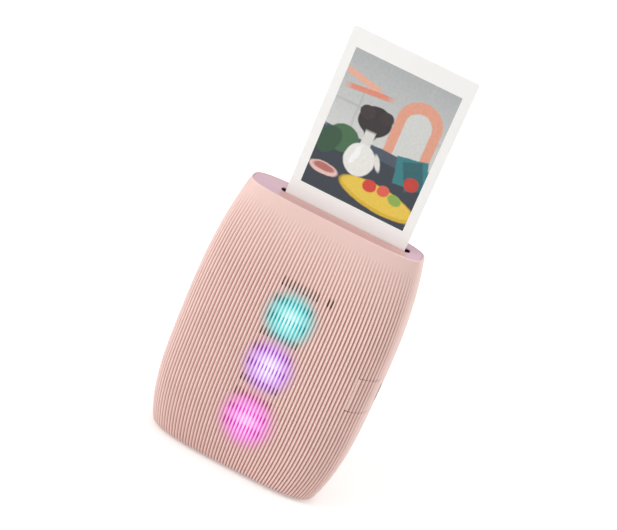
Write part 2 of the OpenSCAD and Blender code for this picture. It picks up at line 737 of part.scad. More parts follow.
// ================= port =================
// a piece of ribbed wall between two distances round the body and two heights
module wall_patch(s0, s1, z0, z1, inset, steps) {
    outer = concat([[s0, 0]], ribs_between(s0 + 0.2, s1 - 0.2), [[s1, 0]]);
    loft([for (k = [0 : steps]) let (z = z0 + (z1 - z0) * k / steps) concat(
        [for (r = outer) on_body(arc_angle(r[0]), z, r[1] * groove(z))],
        [for (i = [8 : -1 : 0]) on_body(arc_angle(s0 + (s1 - s0) * i / 8), z, inset)])]);
}
module port_cover() {
    nail = on_body(arc_angle(nail_arc), port_z, 0);
    color(shell_pink)
    resize([0, 0, 0])
    difference() {
        union() {
            wall_patch(port_arc + cover_knuckle_r, cover_end, cover_z0, cover_z1, cover_t, 3);
            rod_z(cover_z0, cover_z1, cover_axis[0], cover_axis[1], cover_knuckle_r);
        }
        rod_z(cover_z0 - 1, cover_z1 + 1, cover_axis[0], cover_axis[1], cover_pin_r + run_fit);
        block([nail[0] - nail_deep, nail[1] - nail_half, port_z - nail_h / 2],
            [body_w, nail[1] + nail_half, port_z + nail_h / 2]);
    }
}
module port_cover_pin() {
    color(steel)
    rod_z(cover_z0 - cover_gap - 1, cover_z1 + cover_gap + 1, cover_axis[0], cover_axis[1], cover_pin_r);
}
// the wall behind the cover, with the mouth of the port and the reset hole
module port_well() {
    color(dark_plastic)
    difference() {
        block([well_x0, usb_y - usb_h / 2 - 1.3, cover_z0 + 0.8],
            [usb_x1, chassis_y0 - 0.02, cover_z1 - 0.8]);
        plate_x(well_x0 - 1, usb_x1 + 1) translate([usb_y, port_z]) usb_outline(0.1);
        rod_x(well_x0 - 1, usb_x1 + 1, usb_y, port_z + 6.3, 0.55);
    }
}
module usb_outline(grow) {
    r = usb_h / 2 + grow;
    union() {
        square([2 * r, usb_w - usb_h], center = true);
        for (s = [-1, 1]) translate([0, s * (usb_w - usb_h) / 2]) circle(r = r, $fn = fine);
    }
}
module usb_port() {
    color(steel)
    union() {
        difference() {
            plate_x(usb_x1 - usb_len, usb_x1 - 0.05) translate([usb_y, port_z]) usb_outline(0);
            plate_x(usb_x1 - usb_len + 1, usb_x1 + 1) translate([usb_y, port_z]) usb_outline(-0.3);
        }
        block([usb_x1 - usb_len + 0.9, usb_y - 0.35, port_z - 3], [usb_x1 - 1.2, usb_y + 0.35, port_z + 3]);
    }
}

// ================= side buttons =================
module side_button(z) {
    back = button_face + button_t;
    plate_x(button_face, back) translate([button_y, z]) button_outline(0);
    plate_x(back - e, back + button_flange) translate([button_y, z]) button_outline(button_flange_wide);
    rod_x(back, side_board_x - switch_t - button_travel - 0.1, button_y, z, button_stem / 2);
}
module power_button() {
    color(cap_mauve) side_button(power_z);
}
module function_button() {
    color(cap_mauve) side_button(function_z);
}
module tact_switch(z) {
    block([side_board_x - 1.2, button_y - 2.2, z - 2.2], [side_board_x - 0.02, button_y + 2.2, z + 2.2]);
    rod_x(side_board_x - switch_t, side_board_x - 1.2 + e, button_y, z, 1.1);
}
module power_switch() {
    color(dark_plastic) tact_switch(power_z);
}
module function_switch() {
    color(dark_plastic) tact_switch(function_z);
}
module side_board() {
    z0 = function_z - 7;
    z1 = power_z + 7;
    color(board_green)
    union() {
        block([side_board_x, 0.6, z0], [side_board_x + 1, 8.8, z1]);
        for (z = [z0 + 1, z1 - 4])
            block([side_board_x + 1 - e, 2, z], [chassis_x0 - 0.02, 6, z + 3]);
    }
}

// ================= rollers and gears =================
module gear_outline(n, phase) {
    pr = pitch_r(n);
    tip = pr + 0.9 * gear_m;
    root = pr - 1.15 * gear_m;
    step = 360 / n;
    // one tooth: [radius, share of the tooth's step]
    tooth = [[root, -0.31], [pr, -0.2], [tip, -0.09], [tip, 0.09], [pr, 0.2], [root, 0.31]];
    polygon([for (i = [0 : n - 1], k = tooth) polar(k[0], phase + (i + k[1]) * step)]);
}
module gear(pos, n, phase, x0, bore) {
    plate_x(x0, x0 + gear_t) translate(pos) difference() {
        gear_outline(n, phase);
        circle(r = bore, $fn = fine);
    }
}
plate_z0 = chassis_z1 + 1.3;
module roller_plate_shape() {
    difference() {
        union() {
            for (p = [front_pos, rear_pos]) translate(p) circle(r = plate_round, $fn = fine);
            translate([front_pos[0] - plate_round, plate_z0])
                square([rear_pos[0] - front_pos[0] + 2 * plate_round, roller_z - plate_z0]);
            children();
        }
        for (p = [front_pos, rear_pos]) translate(p) circle(r = bush_r + 0.03, $fn = fine);
        translate([film_y - 0.8, roller_z - 1]) square([1.6, 6]);
    }
}
module roller_plate_left() {
    color(steel)
    union() {
        plate_x(plate_x0, plate_x1) difference() {
            roller_plate_shape() {
                translate(motor_pos) circle(r = 2.6, $fn = fine);
                translate([rear_pos[0] - 1, plate_z0])
                    square([motor_pos[0] - rear_pos[0] + 1.2, motor_pos[1] - plate_z0]);
            }
            for (p = [upper_pos, lower_pos]) translate(p) circle(r = gear_pin_r + 0.02, $fn = fine);
            translate(motor_pos) circle(r = 1.2, $fn = fine);
        }
        block([plate_x1 - e, foot_y, plate_z0 - 0.05], [plate_x1 + 6, foot_y + 3, plate_z0 - 0.05 + foot_t]);
    }
}
module roller_plate_right() {
    color(steel)
    union() {
        plate_x(right_x0, right_x0 + plate_t) roller_plate_shape();
        block([right_x0 - 6, foot_y, plate_z0 - 0.05], [right_x0 + e, foot_y + 3, plate_z0 - 0.05 + foot_t]);
    }
}
module roller(pos) {
    union() {
        rod_x(roller_x0, roller_x1, pos[0], pos[1], roller_r);
        rod_x(plane_a, right_x0 + plate_t + 0.5, pos[0], pos[1], journal_r);
    }
}
module front_roller() {
    color(dark_plastic) roller(front_pos);
}
module rear_roller() {
    color(dark_plastic) roller(rear_pos);
}
module roller_bushes() {
    color("#D8D2C0")
    for (p = [front_pos, rear_pos], s = [[plate_x0, plate_x1], [right_x0, right_x0 + plate_t]]) difference() {
        union() {
            rod_x(s[0], s[1], p[0], p[1], bush_r);
            rod_x(s[0] < 0 ? s[1] + 0.02 : s[0] - bush_flange, s[0] < 0 ? s[1] + bush_flange : s[0] - 0.02,
                p[0], p[1], bush_r + 0.3);
            rod_x(s[0] < 0 ? s[1] - e : s[0] - 0.03, s[0] < 0 ? s[1] + 0.03 : s[0] + e, p[0], p[1], bush_r);
        }
        rod_x(s[0] - 2, s[1] + 2, p[0], p[1], journal_r + run_fit);
    }
}
module front_roller_gear() {
    color("#EDEBE4") gear(front_pos, roller_teeth, 0, plane_a, journal_r + 0.02);
}
module rear_roller_gear() {
    color("#EDEBE4") gear(rear_pos, roller_teeth, rear_phase, plane_a, journal_r + 0.02);
}
module compound_gear(pos, n_inner, phase_inner, x_inner, n_outer, phase_outer, x_outer) {
    bore = gear_pin_r + run_fit;
    union() {
        gear(pos, n_inner, phase_inner, x_inner, bore);
        gear(pos, n_outer, phase_outer, x_outer, bore);
        plate_x(x_outer + gear_t - e, x_inner + e) translate(pos) difference() {
            circle(r = pitch_r(small_teeth) - 1, $fn = fine);
            circle(r = bore, $fn = fine);
        }
    }
}
module upper_gear() {
    color("#EDEBE4") compound_gear(upper_pos, small_teeth, upper_phase, plane_a, upper_teeth, 0, plane_b);
}
module lower_gear() {
    color("#EDEBE4") compound_gear(lower_pos, small_teeth, lower_phase, plane_b, lower_teeth, 0, plane_c);
}
module gear_pins() {
    color(steel)
    for (p = [upper_pos, lower_pos]) rod_x(cover_plate_x0, plate_x1, p[0], p[1], gear_pin_r);
}
// the outer plate that holds the far ends of the gear pins
module gear_cover() {
    color(steel)
    plate_x(cover_plate_x0, cover_plate_x1) difference() {
        union() {
            for (p = [upper_pos, lower_pos]) translate(p) circle(r = 2, $fn = fine);
            translate((upper_pos + lower_pos) / 2) rotate(lower_dir)
                square([norm(upper_pos - lower_pos), 4], center = true);
        }
        for (p = [upper_pos, lower_pos]) translate(p) circle(r = gear_pin_r + 0.02, $fn = fine);
    }
}
motor_r = 3.2;
motor_len = 15;
module motor() {
    color(steel)
    union() {
        rod_x(plate_x1 + 0.05, plate_x1 + motor_len, motor_pos[0], motor_pos[1], motor_r);
        rod_x(plate_x1 + motor_len - e, plate_x1 + motor_len + 1, motor_pos[0], motor_pos[1], 1.4);
    }
}
module motor_pinion() {
    color("#C9A557")
    union() {
        gear(motor_pos, pinion_teeth, pinion_phase, plane_c, 0.38);
        rod_x(plane_c, plate_x1 - 0.4, motor_pos[0], motor_pos[1], 0.4);
    }
}
// a sliding claw whose toe pushes the front sheet up into the rollers
module pick_claw() {
    y1 = chassis_y0 - 0.15;
    color("#D8D2C0")
    union() {
        block([claw_x, y1 - 0.9, claw_z], [claw_x + claw_w, y1, claw_z + claw_len]);
        block([claw_x, y1 - e, claw_z], [claw_x + claw_w, stack_y0 - 0.1, claw_z + 1.1]);
    }
}
module claw_spring() {
    color(steel)
    coil_z(claw_x + claw_w / 2, chassis_y0 - 0.6, claw_z + claw_len + 0.05, claw_stop_z - 0.05,
        0.45, 0.12, 9);
}

// ================= printing head, boards, battery, lights =================
head_z0 = chassis_z1 + 3.3;
head_z1 = head_z0 + 7;
head_y1 = film_y - film_t / 2 - 2.2;
head_half = film_w / 2 - 1;
lens_half = film_w / 2 - 3;
foot_w = 4;
module print_head() {
    color(dark_plastic)
    difference() {
        union() {
            block([film_x - head_half, head_y1 - 4.6, head_z0], [film_x + head_half, head_y1, head_z1]);
            for (x = [film_x - head_half + 6, film_x + head_half - 6 - foot_w])
                block([x, chassis_y0, chassis_z1 + 0.02], [x + foot_w, chassis_y1, head_z0 + 2]);
        }
        block([film_x - lens_half, head_y1 - 1.6, head_z0 + 2.2],
            [film_x + lens_half, head_y1 + 1, head_z0 + 4.8]);
    }
}
module lens_array() {
    color([0.75, 0.82, 0.9, 0.7])
    block([film_x - lens_half + 0.1, head_y1 - 1.55, head_z0 + 2.3],
        [film_x + lens_half - 0.1, head_y1 + 0.6, head_z0 + 4.7]);
}
module main_board() {
    color(board_green)
    difference() {
        block([board_x0, board_y0, board_z0], [board_x1, board_y1, board_z1]);
        block([claw_x - 1, board_y0 - 1, board_z0 - 1], [claw_x + 4, board_y1 + 1, claw_stop_z + 2]);
        block([usb_x1 - usb_len - 0.3, board_y0 - 1, port_z - usb_w / 2 - 0.3],
            [board_x1 + 1, board_y1 + 1, port_z + usb_w / 2 + 0.3]);
        for (s = SPACERS) rod_y(board_y0 - 1, board_y1 + 1, s[0], s[1], 1.1);
    }
}
SPACERS = [for (x = [board_x0 + 3, board_x1 - 3], z = [board_z0 + 14, board_z1 - 4]) [x, z]];
// posts that hold the board off the chassis, each with its screw head
module board_spacers() {
    color(steel)
    for (s = SPACERS) union() {
        rod_y(board_y1 + 0.02, chassis_y0 - 0.02, s[0], s[1], 1.8);
        rod_y(board_y0 - 0.1, board_y1 + 0.03, s[0], s[1], 1);
        rod_y(board_y0 - 0.8, board_y0 - 0.02, s[0], s[1], 1.7);
    }
}
// a part on the board: place of its lower left corner, width, height and how far it stands off
module on_board(x, z, w, h, t) {
    block([x, board_y0 - t, z], [x + w, board_y0 - 0.02, z + h]);
}
chips_z = board_z1 - 14;
module board_chips() {
    color(dark_plastic)
    union() {
        on_board(13, chips_z - 9, 9, 9, 0.95);
        on_board(board_x1 - 8.5, chips_z - 5, 6, 6, 0.75);
        on_board(12, chips_z - 21, 4, 4, 0.7);
        on_board(15, board_z0 + 8, 10, 5, 2.4);
        for (i = [0 : 4]) on_board(12 + i * 2.6, chips_z - 14.5, 1.2, 2.1, 0.5);
    }
}
can_w = 17;
can_h = 20;
module shield_can() {
    color(steel)
    on_board(board_x1 - can_w - 2.5, board_z0 + can_h, can_w, can_h, 1.8);
}
battery_w = 21;
battery_t = 5;
battery_rise = 18;
battery_z = board_z0 + battery_rise;
battery_h = board_z1 - 13 - battery_z;
battery_r = 1.2;
module battery() {
    x1 = -holder_half - 2.4;
    x0 = x1 - battery_w;
    y1 = board_y0 - 0.1;
    y0 = y1 - battery_t;
    color("#5B6470")
    translate([0, 0, battery_z]) linear_extrude(battery_h) union() {
        translate([x0 + battery_r, y0]) square([battery_w - 2 * battery_r, battery_t]);
        translate([x0, y0 + battery_r]) square([battery_w, battery_t - 2 * battery_r]);
        for (x = [x0 + battery_r, x1 - battery_r], y = [y0 + battery_r, y1 - battery_r])
            translate([x, y]) circle(r = battery_r, $fn = 24);
    }
}
led_board_z0 = led_bottom_z - 7;
led_board_z1 = led_top_z + 9;
module led_board() {
    color("#F2F1EC")
    block([-6.5, led_board_y - 1, led_board_z0], [6.5, led_board_y, led_board_z1]);
}
module led(z) {
    y1 = led_board_y - 1.02;
    difference() {
        block([-led_size / 2, y1 - led_t, z - led_size / 2], [led_size / 2, y1, z + led_size / 2]);
        rod_y(y1 - led_t - 1, y1 - led_t + 0.35, 0, z, led_size * 0.38);
    }
}
module led_top() {
    color("#8FE3DF") led(led_top_z);
}
module led_middle() {
    color("#C79BEA") led(led_middle_z);
}
module led_bottom() {
    color("#F08BDC") led(led_bottom_z);
}
module led_holder() {
    inner = holder_half - 1.2;
    color("#F2F1EC")
    difference() {
        block([-holder_half, led_board_y + 0.02, led_board_z0 - 1],
            [holder_half, board_y0 - 0.02, led_board_z1 + 1]);
        block([-inner, led_board_y - 1, led_board_z0 + 1], [inner, board_y0 + 1, led_board_z1 - 1]);
    }
}
// a thin sheet that follows the inside of the front shell and spreads the light
module light_guide() {
    levels = [for (k = [0 : 8]) guide_z0 + k * (guide_z1 - guide_z0) / 8];
    span = guide_half / half_w(belly_z);
    steps = 8;
    angles = [for (i = [-steps : steps]) atan(i / steps * span)];
    color([0.96, 0.94, 0.96, 0.8])
    loft([for (z = levels) concat(
        [for (a = angles) on_body(a, z, wall + gap)],
        [for (i = [2 * steps : -2 : 0]) on_body(angles[i], z, wall + gap + guide_t)])]);
}
module head_cable() {
    x = film_x + 8;
    color("#C98A3A")
    block([x, board_y0 - 0.25, board_z1 - 8], [x + 10, board_y0 - 0.05, head_z0 - 0.02]);
}

front_shell();
rear_shell();
top_cap();
chassis();
chassis_screws();
film_cartridge();
film_stack();
cartridge_spring();
film_print();
film_door();
door_hinge_lugs();
door_hinge_ears();
door_hinge_pins();
door_window();
door_pads();
door_latch();
latch_spring();
port_cover();
port_cover_pin();
port_well();
usb_port();
power_button();
function_button();
power_switch();
function_switch();
side_board();
roller_plate_left();
roller_plate_right();
front_roller();
rear_roller();
roller_bushes();
front_roller_gear();
rear_roller_gear();
upper_gear();
lower_gear();
gear_pins();
gear_cover();
motor();
motor_pinion();
pick_claw();
claw_spring();
print_head();
lens_array();
main_board();
board_chips();
shield_can();
board_spacers();
battery();
led_board();
led_top();
led_middle();
led_bottom();
led_holder();
light_guide();
head_cable();
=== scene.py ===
# %% [markdown]
# # A pocket photo printer with a print standing in its slot
# The printer is a small barrel of moulded pink plastic, 126 mm tall. Fine ribs run down its front
# and round to its sides, three lights shine out through slots between the ribs, and an instant
# print stands in the slot of the mauve top. Sizes below are in millimetres and become metres,
# Blender's unit, as they enter a mesh.

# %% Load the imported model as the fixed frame
import math

import bmesh
import bpy
import numpy as np
from mathutils import Matrix, Vector
from mathutils.kdtree import KDTree


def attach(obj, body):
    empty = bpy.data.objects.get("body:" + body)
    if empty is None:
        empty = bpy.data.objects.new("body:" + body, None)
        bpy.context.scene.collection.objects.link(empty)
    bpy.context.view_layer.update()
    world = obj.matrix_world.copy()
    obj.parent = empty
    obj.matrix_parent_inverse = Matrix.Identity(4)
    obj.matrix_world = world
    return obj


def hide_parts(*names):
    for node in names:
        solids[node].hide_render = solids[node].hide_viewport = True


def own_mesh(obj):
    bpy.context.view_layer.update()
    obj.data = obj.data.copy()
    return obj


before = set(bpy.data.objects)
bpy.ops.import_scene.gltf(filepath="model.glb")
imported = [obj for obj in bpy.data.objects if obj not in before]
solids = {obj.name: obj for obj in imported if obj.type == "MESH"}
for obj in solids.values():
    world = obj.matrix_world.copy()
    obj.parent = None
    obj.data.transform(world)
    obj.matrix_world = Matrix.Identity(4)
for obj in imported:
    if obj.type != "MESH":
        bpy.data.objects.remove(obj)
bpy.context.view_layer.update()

MM = 0.001

# %% [markdown]
# ## The camera
# A long lens looks down on the printer and is rolled, so that the printer leans to the right in the
# picture. The three axes are worked out from azimuth, elevation and roll, because a rolled camera
# is hard to aim by eye.

# %% Camera
AZIMUTH, ELEVATION, ROLL = (math.radians(a) for a in (7.473, 27.257, 23.325))
DISTANCE = 785.77
FOCAL_PIXELS, IMAGE_WIDTH, SENSOR = 1913.9, 617, 36.0
AIM_SIDE, AIM_UP = -3.069, 99.836
NEAREST, FARTHEST = 0.05, 20  # metres

back = Vector((math.sin(AZIMUTH) * math.cos(ELEVATION), -math.cos(AZIMUTH) * math.cos(ELEVATION),
               math.sin(ELEVATION)))
level = Vector((math.cos(AZIMUTH), math.sin(AZIMUTH), 0))
raised = back.cross(level)
side_axis = math.cos(ROLL) * level + math.sin(ROLL) * raised
up_axis = math.cos(ROLL) * raised - math.sin(ROLL) * level
aim = AIM_SIDE * level + Vector((0, 0, AIM_UP))
camera = bpy.data.objects.new("camera", bpy.data.cameras.new("camera"))
camera.matrix_world = Matrix.Translation((aim + back * DISTANCE) * MM) @ Matrix(
    (side_axis, up_axis, back)).transposed().to_4x4()
camera.data.sensor_width = SENSOR
camera.data.lens = SENSOR * FOCAL_PIXELS / IMAGE_WIDTH
camera.data.clip_start, camera.data.clip_end = NEAREST, FARTHEST
bpy.context.scene.collection.objects.link(camera)
bpy.context.scene.camera = camera
print("lens:", round(camera.data.lens, 1), "mm")

# %% [markdown]
# ## The outline of the body
# Every shell piece is cut from one barrel: a rounded-square cross-section whose width and depth
# shrink towards the top and the base by a power law, with a rounded lower edge. Writing it as
# functions keeps all the shells on exactly the same surface.

# %% The barrel
BODY_W, BODY_D, BODY_H, BELLY_Z = 90.0, 37.3, 125.6, 52.2
TOP_W, TOP_D, BOTTOM_W, BOTTOM_D = 77.6, 16.9, 76.8, 27.4
TOP_CURVE_W, TOP_CURVE_D, BOTTOM_CURVE_W, BOTTOM_CURVE_D = 2.93, 2.24, 3.07, 2.19
SQUARENESS = 3.33
EDGE_ROUND = 5.0


def rounded_in(distance, radius):
    """How far a rounded edge stands back at a distance from its end."""
    left = np.maximum(radius - distance, 0)
    return radius - np.sqrt(np.maximum(radius**2 - left**2, 0))


def half_size(z, size, top, bottom, top_curve, bottom_curve, edge):
    """Half the barrel's width or depth at a height, from that size at the belly, top and bottom."""
    up = np.maximum(0, (z - BELLY_Z) / (BODY_H - BELLY_Z))
    down = np.maximum(0, (BELLY_Z - z) / BELLY_Z)
    shrink = (size - top) / 2 * up**top_curve + (size - bottom) / 2 * down**bottom_curve
    return size / 2 - shrink - rounded_in(z, edge)


def half_width(z):
    """Sideways the lower edge is only half as round as it is from front to back."""
    return half_size(z, BODY_W, TOP_W, BOTTOM_W, TOP_CURVE_W, BOTTOM_CURVE_W, EDGE_ROUND / 2)


def half_depth(z):
    return half_size(z, BODY_D, TOP_D, BOTTOM_D, TOP_CURVE_D, BOTTOM_CURVE_D, EDGE_ROUND)


def section(angle):
    """A point of the unit cross-section: 0 is the front middle, 90 the right side."""
    s, c = np.sin(np.radians(angle)), np.cos(np.radians(angle))
    k = (np.abs(s)**SQUARENESS + np.abs(c)**SQUARENESS)**(-1 / SQUARENESS)
    return s * k, -c * k


def barrel(angle, z, inset=0.0):
    """Points of the barrel's surface, or of the one that lies an inset further in."""
    x, y = section(angle)
    return np.stack([(half_width(z) - inset) * x, (half_depth(z) - inset) * y, z + 0 * x], -1)


print("barrel at the belly:", 2 * half_width(BELLY_Z), "x", 2 * half_depth(BELLY_Z), "mm")

# %% Distances round the belly
TURN = np.linspace(0, 90, 721)  # an eighth of a degree apart
hops = np.linalg.norm(np.diff(barrel(TURN, BELLY_Z), axis=0), axis=1)
AROUND = np.concatenate([[0], np.cumsum(hops)])
QUARTER = AROUND[-1]


def angle_at(around):
    """The angle at a distance round the belly from the front middle, as far as the back."""
    away = np.abs(around)
    turn = np.interp(np.where(away > QUARTER, 2 * QUARTER - away, away), AROUND, TURN)
    return np.sign(around) * np.where(away > QUARTER, 180 - turn, turn)


print("quarter of the belly:", round(QUARTER, 2), "mm")

# %% [markdown]
# ## Helpers for meshes
# Lofts make the curved skins, extruded outlines make everything that cuts them, and the Boolean
# modifier does the cutting, as a milling tool would on a real shell. Its Manifold solver keeps the
# result closed. The result is turned into a plain mesh each time.

# %% Meshes from points
def make_piece(name, points, faces):
    mesh = bpy.data.meshes.new(name)
    mesh.from_pydata((np.asarray(points, float) * MM).tolist(), [], faces)
    piece = bpy.data.objects.new(name, mesh)
    bpy.context.scene.collection.objects.link(piece)
    return piece


def face_outwards(piece):
    shape = bmesh.new()
    shape.from_mesh(piece.data)
    bmesh.ops.recalc_face_normals(shape, faces=shape.faces)
    shape.to_mesh(piece.data)
    shape.free()
    return piece


def loft(name, rings):
    """A closed skin through rings of points (rows, columns, xyz), anticlockwise from above."""
    rows, columns = rings.shape[:2]
    index = np.arange(rows * columns).reshape(rows, columns)
    beside = np.roll(index, -1, axis=1)
    sides = np.stack([index[:-1], beside[:-1], beside[1:], index[1:]], -1).reshape(-1, 4).tolist()
    ends = [index[0][::-1].tolist(), index[-1].tolist()]
    return make_piece(name, rings.reshape(-1, 3), sides + ends)


def round_rect(x, y, width, height, radius, steps=6):
    """A rectangle with round corners, anticlockwise."""
    corners = []
    for turn, sx, sy in ((0, 1, 1), (90, -1, 1), (180, -1, -1), (270, 1, -1)):
        a = np.radians(turn + np.linspace(0, 90, steps + 1))
        corners.append(np.stack([x + sx * (width / 2 - radius) + radius * np.cos(a),
                                 y + sy * (height / 2 - radius) + radius * np.sin(a)], -1))
    return np.concatenate(corners)


def extrude(name, outline, start, end, axis):
    """A closed prism: the outline lies across the axis, in the order of the other two axes."""
    outline = np.asarray(outline, float)
    n = len(outline)
    points = np.concatenate([np.insert(outline, "xyz".index(axis), a, axis=1)
                             for a in (start, end)])
    sides = [[i, (i + 1) % n, n + (i + 1) % n, n + i] for i in range(n)]
    ends = [list(range(n))[::-1], list(range(n, 2 * n))]
    return face_outwards(make_piece(name, points, sides + ends))


def block(low, high):
    """A box between two opposite corners."""
    middle, size = np.add(low, high) / 2, np.subtract(high, low)
    corners = middle[:2] + np.array([[-1, -1], [1, -1], [1, 1], [-1, 1]]) * size[:2] / 2
    return extrude("block", corners, low[2], high[2], "z")


def rod(centre, radius, start, end, axis, steps=8):
    circle = round_rect(*centre, 2 * radius, 2 * radius, radius, steps)
    return extrude("rod", circle, start, end, axis)


print("mesh helpers: loft, extrude, block, rod")

# %% Cutting and joining
ALONG_RIB = 0.05  # heights count this much when the nearest point along a rib is looked for


def settle(piece):
    """Turns the piece's modifiers into plain mesh."""
    graph = bpy.context.evaluated_depsgraph_get()
    mesh = bpy.data.meshes.new_from_object(piece.evaluated_get(graph))
    piece.modifiers.clear()
    piece.data = mesh
    return piece


def combine(piece, others, operation="DIFFERENCE", cut_share=0.5):
    """Cuts the other closed pieces from this one, or joins or intersects them.

    A Boolean leaves the new points of a ribbed piece with 0 as their "ridge". They are given
    cut_share, or with None the value of the nearest old point along their rib.
    """
    for other in others:
        step = piece.modifiers.new("step", "BOOLEAN")
        step.operation, step.object, step.solver = operation, other, "MANIFOLD"
    settle(piece)
    for other in others:
        bpy.data.objects.remove(other)
    if "ridge" in piece.data.attributes:
        shares = np.empty(len(piece.data.vertices), np.float32)
        piece.data.attributes["ridge"].data.foreach_get("value", shares)
        if cut_share is None:
            points = np.array([v.co for v in piece.data.vertices]) * (1, 1, ALONG_RIB)
            old = KDTree(np.count_nonzero(shares))
            for i in np.flatnonzero(shares):
                old.insert(points[i], i)
            old.balance()
            for i in np.flatnonzero(shares == 0):
                shares[i] = shares[old.find(points[i])[1]]
        else:
            shares[shares == 0] = cut_share
        piece.data.attributes["ridge"].data.foreach_set("value", shares)
    return piece


def smooth(piece, sharp_angle=40):
    """Shades the curved faces smooth and keeps the edges that are really sharp."""
    piece.data.shade_smooth()
    piece.data.set_sharp_from_angle(angle=math.radians(sharp_angle))
    return piece


print("points along a rib count as", ALONG_RIB, "of their distance")

# %% [markdown]
# ## Helpers for node trees
# One small function adds a node, sets it and wires it. It serves materials and Geometry Nodes
# alike, so every tree below reads as a list of its nodes in the order in which they work.

# %% Node helpers
def add(tree, kind, settings=None, wires=None):
    """Adds a node. A wire's value is a socket, a node (its first output) or a plain value."""
    node = tree.nodes.new(kind)
    for key, value in (settings or {}).items():
        setattr(node, key, value)
    for key, value in (wires or {}).items():
        if isinstance(value, bpy.types.Node):
            value = value.outputs[0]
        if isinstance(value, bpy.types.NodeSocket):
            tree.links.new(value, node.inputs[key])
        else:
            node.inputs[key].default_value = value
    return node


def new_geometry_tree(name, sizes):
    """A Geometry Nodes tree with a mesh going in and out, and named inputs for its sizes."""
    tree = bpy.data.node_groups.new(name, "GeometryNodeTree")
    tree.interface.new_socket("Mesh", in_out="OUTPUT", socket_type="NodeSocketGeometry")
    tree.interface.new_socket("Mesh", in_out="INPUT", socket_type="NodeSocketGeometry")
    for label, kind in sizes.items():
        tree.interface.new_socket(label, in_out="INPUT", socket_type="NodeSocket" + kind)
    return tree, add(tree, "NodeGroupInput"), add(tree, "NodeGroupOutput")


def run_tree(piece, tree, sizes):
    """Runs the tree on the piece with these sizes, each set by its socket's identifier."""
    step = piece.modifiers.new(tree.name, "NODES")
    step.node_group = tree
    for item in tree.interface.items_tree:
        if item.in_out == "INPUT" and item.name in sizes:
            step[item.identifier] = sizes[item.name]
    return settle(piece)


print("node helpers: add, new_geometry_tree, run_tree")

# %% Material helpers
MIX_SHARE, MIX_A, MIX_B, MIX_OUT = 0, 6, 7, 2  # the colour sockets of a Mix node
MIX_COLOURS = {"data_type": "RGBA"}
MULTIPLY_COLOURS = {"data_type": "RGBA", "blend_type": "MULTIPLY"}


def colour(code):
    """An sRGB hex colour as linear red, green, blue and alpha."""
    parts = [int(code[i:i + 2], 16) / 255 for i in (1, 3, 5)]
    return (*[c / 12.92 if c <= 0.04045 else ((c + 0.055) / 1.055)**2.4 for c in parts], 1.0)


def start_material(name, base, roughness, metallic=0.0, ior=1.5):
    """A material with its shader's constants set, and the socket of its Object coordinates."""
    material = bpy.data.materials.new(name)
    material.use_nodes = True
    tree = material.node_tree
    shader = tree.nodes["Principled BSDF"]
    for key, value in {"Base Color": colour(base), "Roughness": roughness, "Metallic": metallic,
                       "IOR": ior}.items():
        shader.inputs[key].default_value = value
    return material, tree, shader, add(tree, "ShaderNodeTexCoord").outputs["Object"]


def finish(piece, material, slot, body, *replaced):
    """Gives a piece its material, or keeps its tree's, and tells the frame what the piece is."""
    if material:
        piece.data.materials.clear()
        piece.data.materials.append(material)
    smooth(piece)
    if replaced:
        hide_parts(*replaced)
    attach(piece, body)


print("material helpers: colour, start_material, finish")

# %% [markdown]
# ## Moulded plastic
# The shells are ABS, moulded in a steel tool whose face was spark-eroded. That leaves a fine, even
# grain that breaks up the highlights, and thick and thin walls cool at different speeds, which
# leaves a faint cloud in the tone. The real grain is about 0.05 mm, too fine to show, so it is
# drawn at a few tenths of a millimetre.

# %% Moulded plastic
GLOSS_SWING = 0.06  # the grain makes the roughness swing by this much both ways


def moulded(name, base, roughness, grain=0.35, height=0.006, cloud=14.0, tone=0.05):
    """Plastic with a grain this wide and high, and a cloud this wide that changes the tone."""
    material, tree, shader, place = start_material(name, base, roughness, ior=1.53)
    drift = add(tree, "ShaderNodeTexNoise", None, {"Vector": place, "Scale": 1 / (cloud * MM)})
    shade = add(tree, "ShaderNodeMapRange", None,
                {"Value": drift, "To Min": 1 - tone, "To Max": 1 + tone})
    tint = add(tree, "ShaderNodeMix", MULTIPLY_COLOURS,
               {MIX_SHARE: 1.0, MIX_A: colour(base), MIX_B: shade})
    speck = add(tree, "ShaderNodeTexNoise", None,
                {"Vector": place, "Scale": 1 / (grain * MM), "Detail": 3.0})
    gloss = add(tree, "ShaderNodeMapRange", None, {
        "Value": speck, "To Min": roughness - GLOSS_SWING, "To Max": roughness + GLOSS_SWING})
    bump = add(tree, "ShaderNodeBump", None, {"Height": speck, "Distance": height * MM})
    tree.links.new(tint.outputs[MIX_OUT], shader.inputs["Base Color"])
    tree.links.new(gloss.outputs[0], shader.inputs["Roughness"])
    tree.links.new(bump.outputs[0], shader.inputs["Normal"])
    return material, tree, shader, place


print("roughness swing of moulded plastic:", GLOSS_SWING)

# %% [markdown]
# ## The pink of the shells, and the light that comes through the front
# Three lamps sit behind the front wall. Their light comes out of the slots and also soaks through
# the thin wall, so round each lamp the plastic glows. That glow is painted: the material emits it,
# nearly white at the middle of a ridge, and a deep colour in the grooves and towards the rim of the
# glow. The material measures the distance to each lamp in Object coordinates and reads the colour
# off a ramp, one for the ridges and one for the grooves. It takes the pink away underneath the
# painted glow, because a wall that is lit from behind hides its own colour.

# %% Colours of the lamps and of their glow
GLOW_ASIDE = 0.9  # from the middle of the front to the middle of each glow
GLOW_FULL = 0.48  # the share of its reach inside which a glow has its full force
RAMP_PLACES = (0.12, 0.3, 0.5, 0.8)
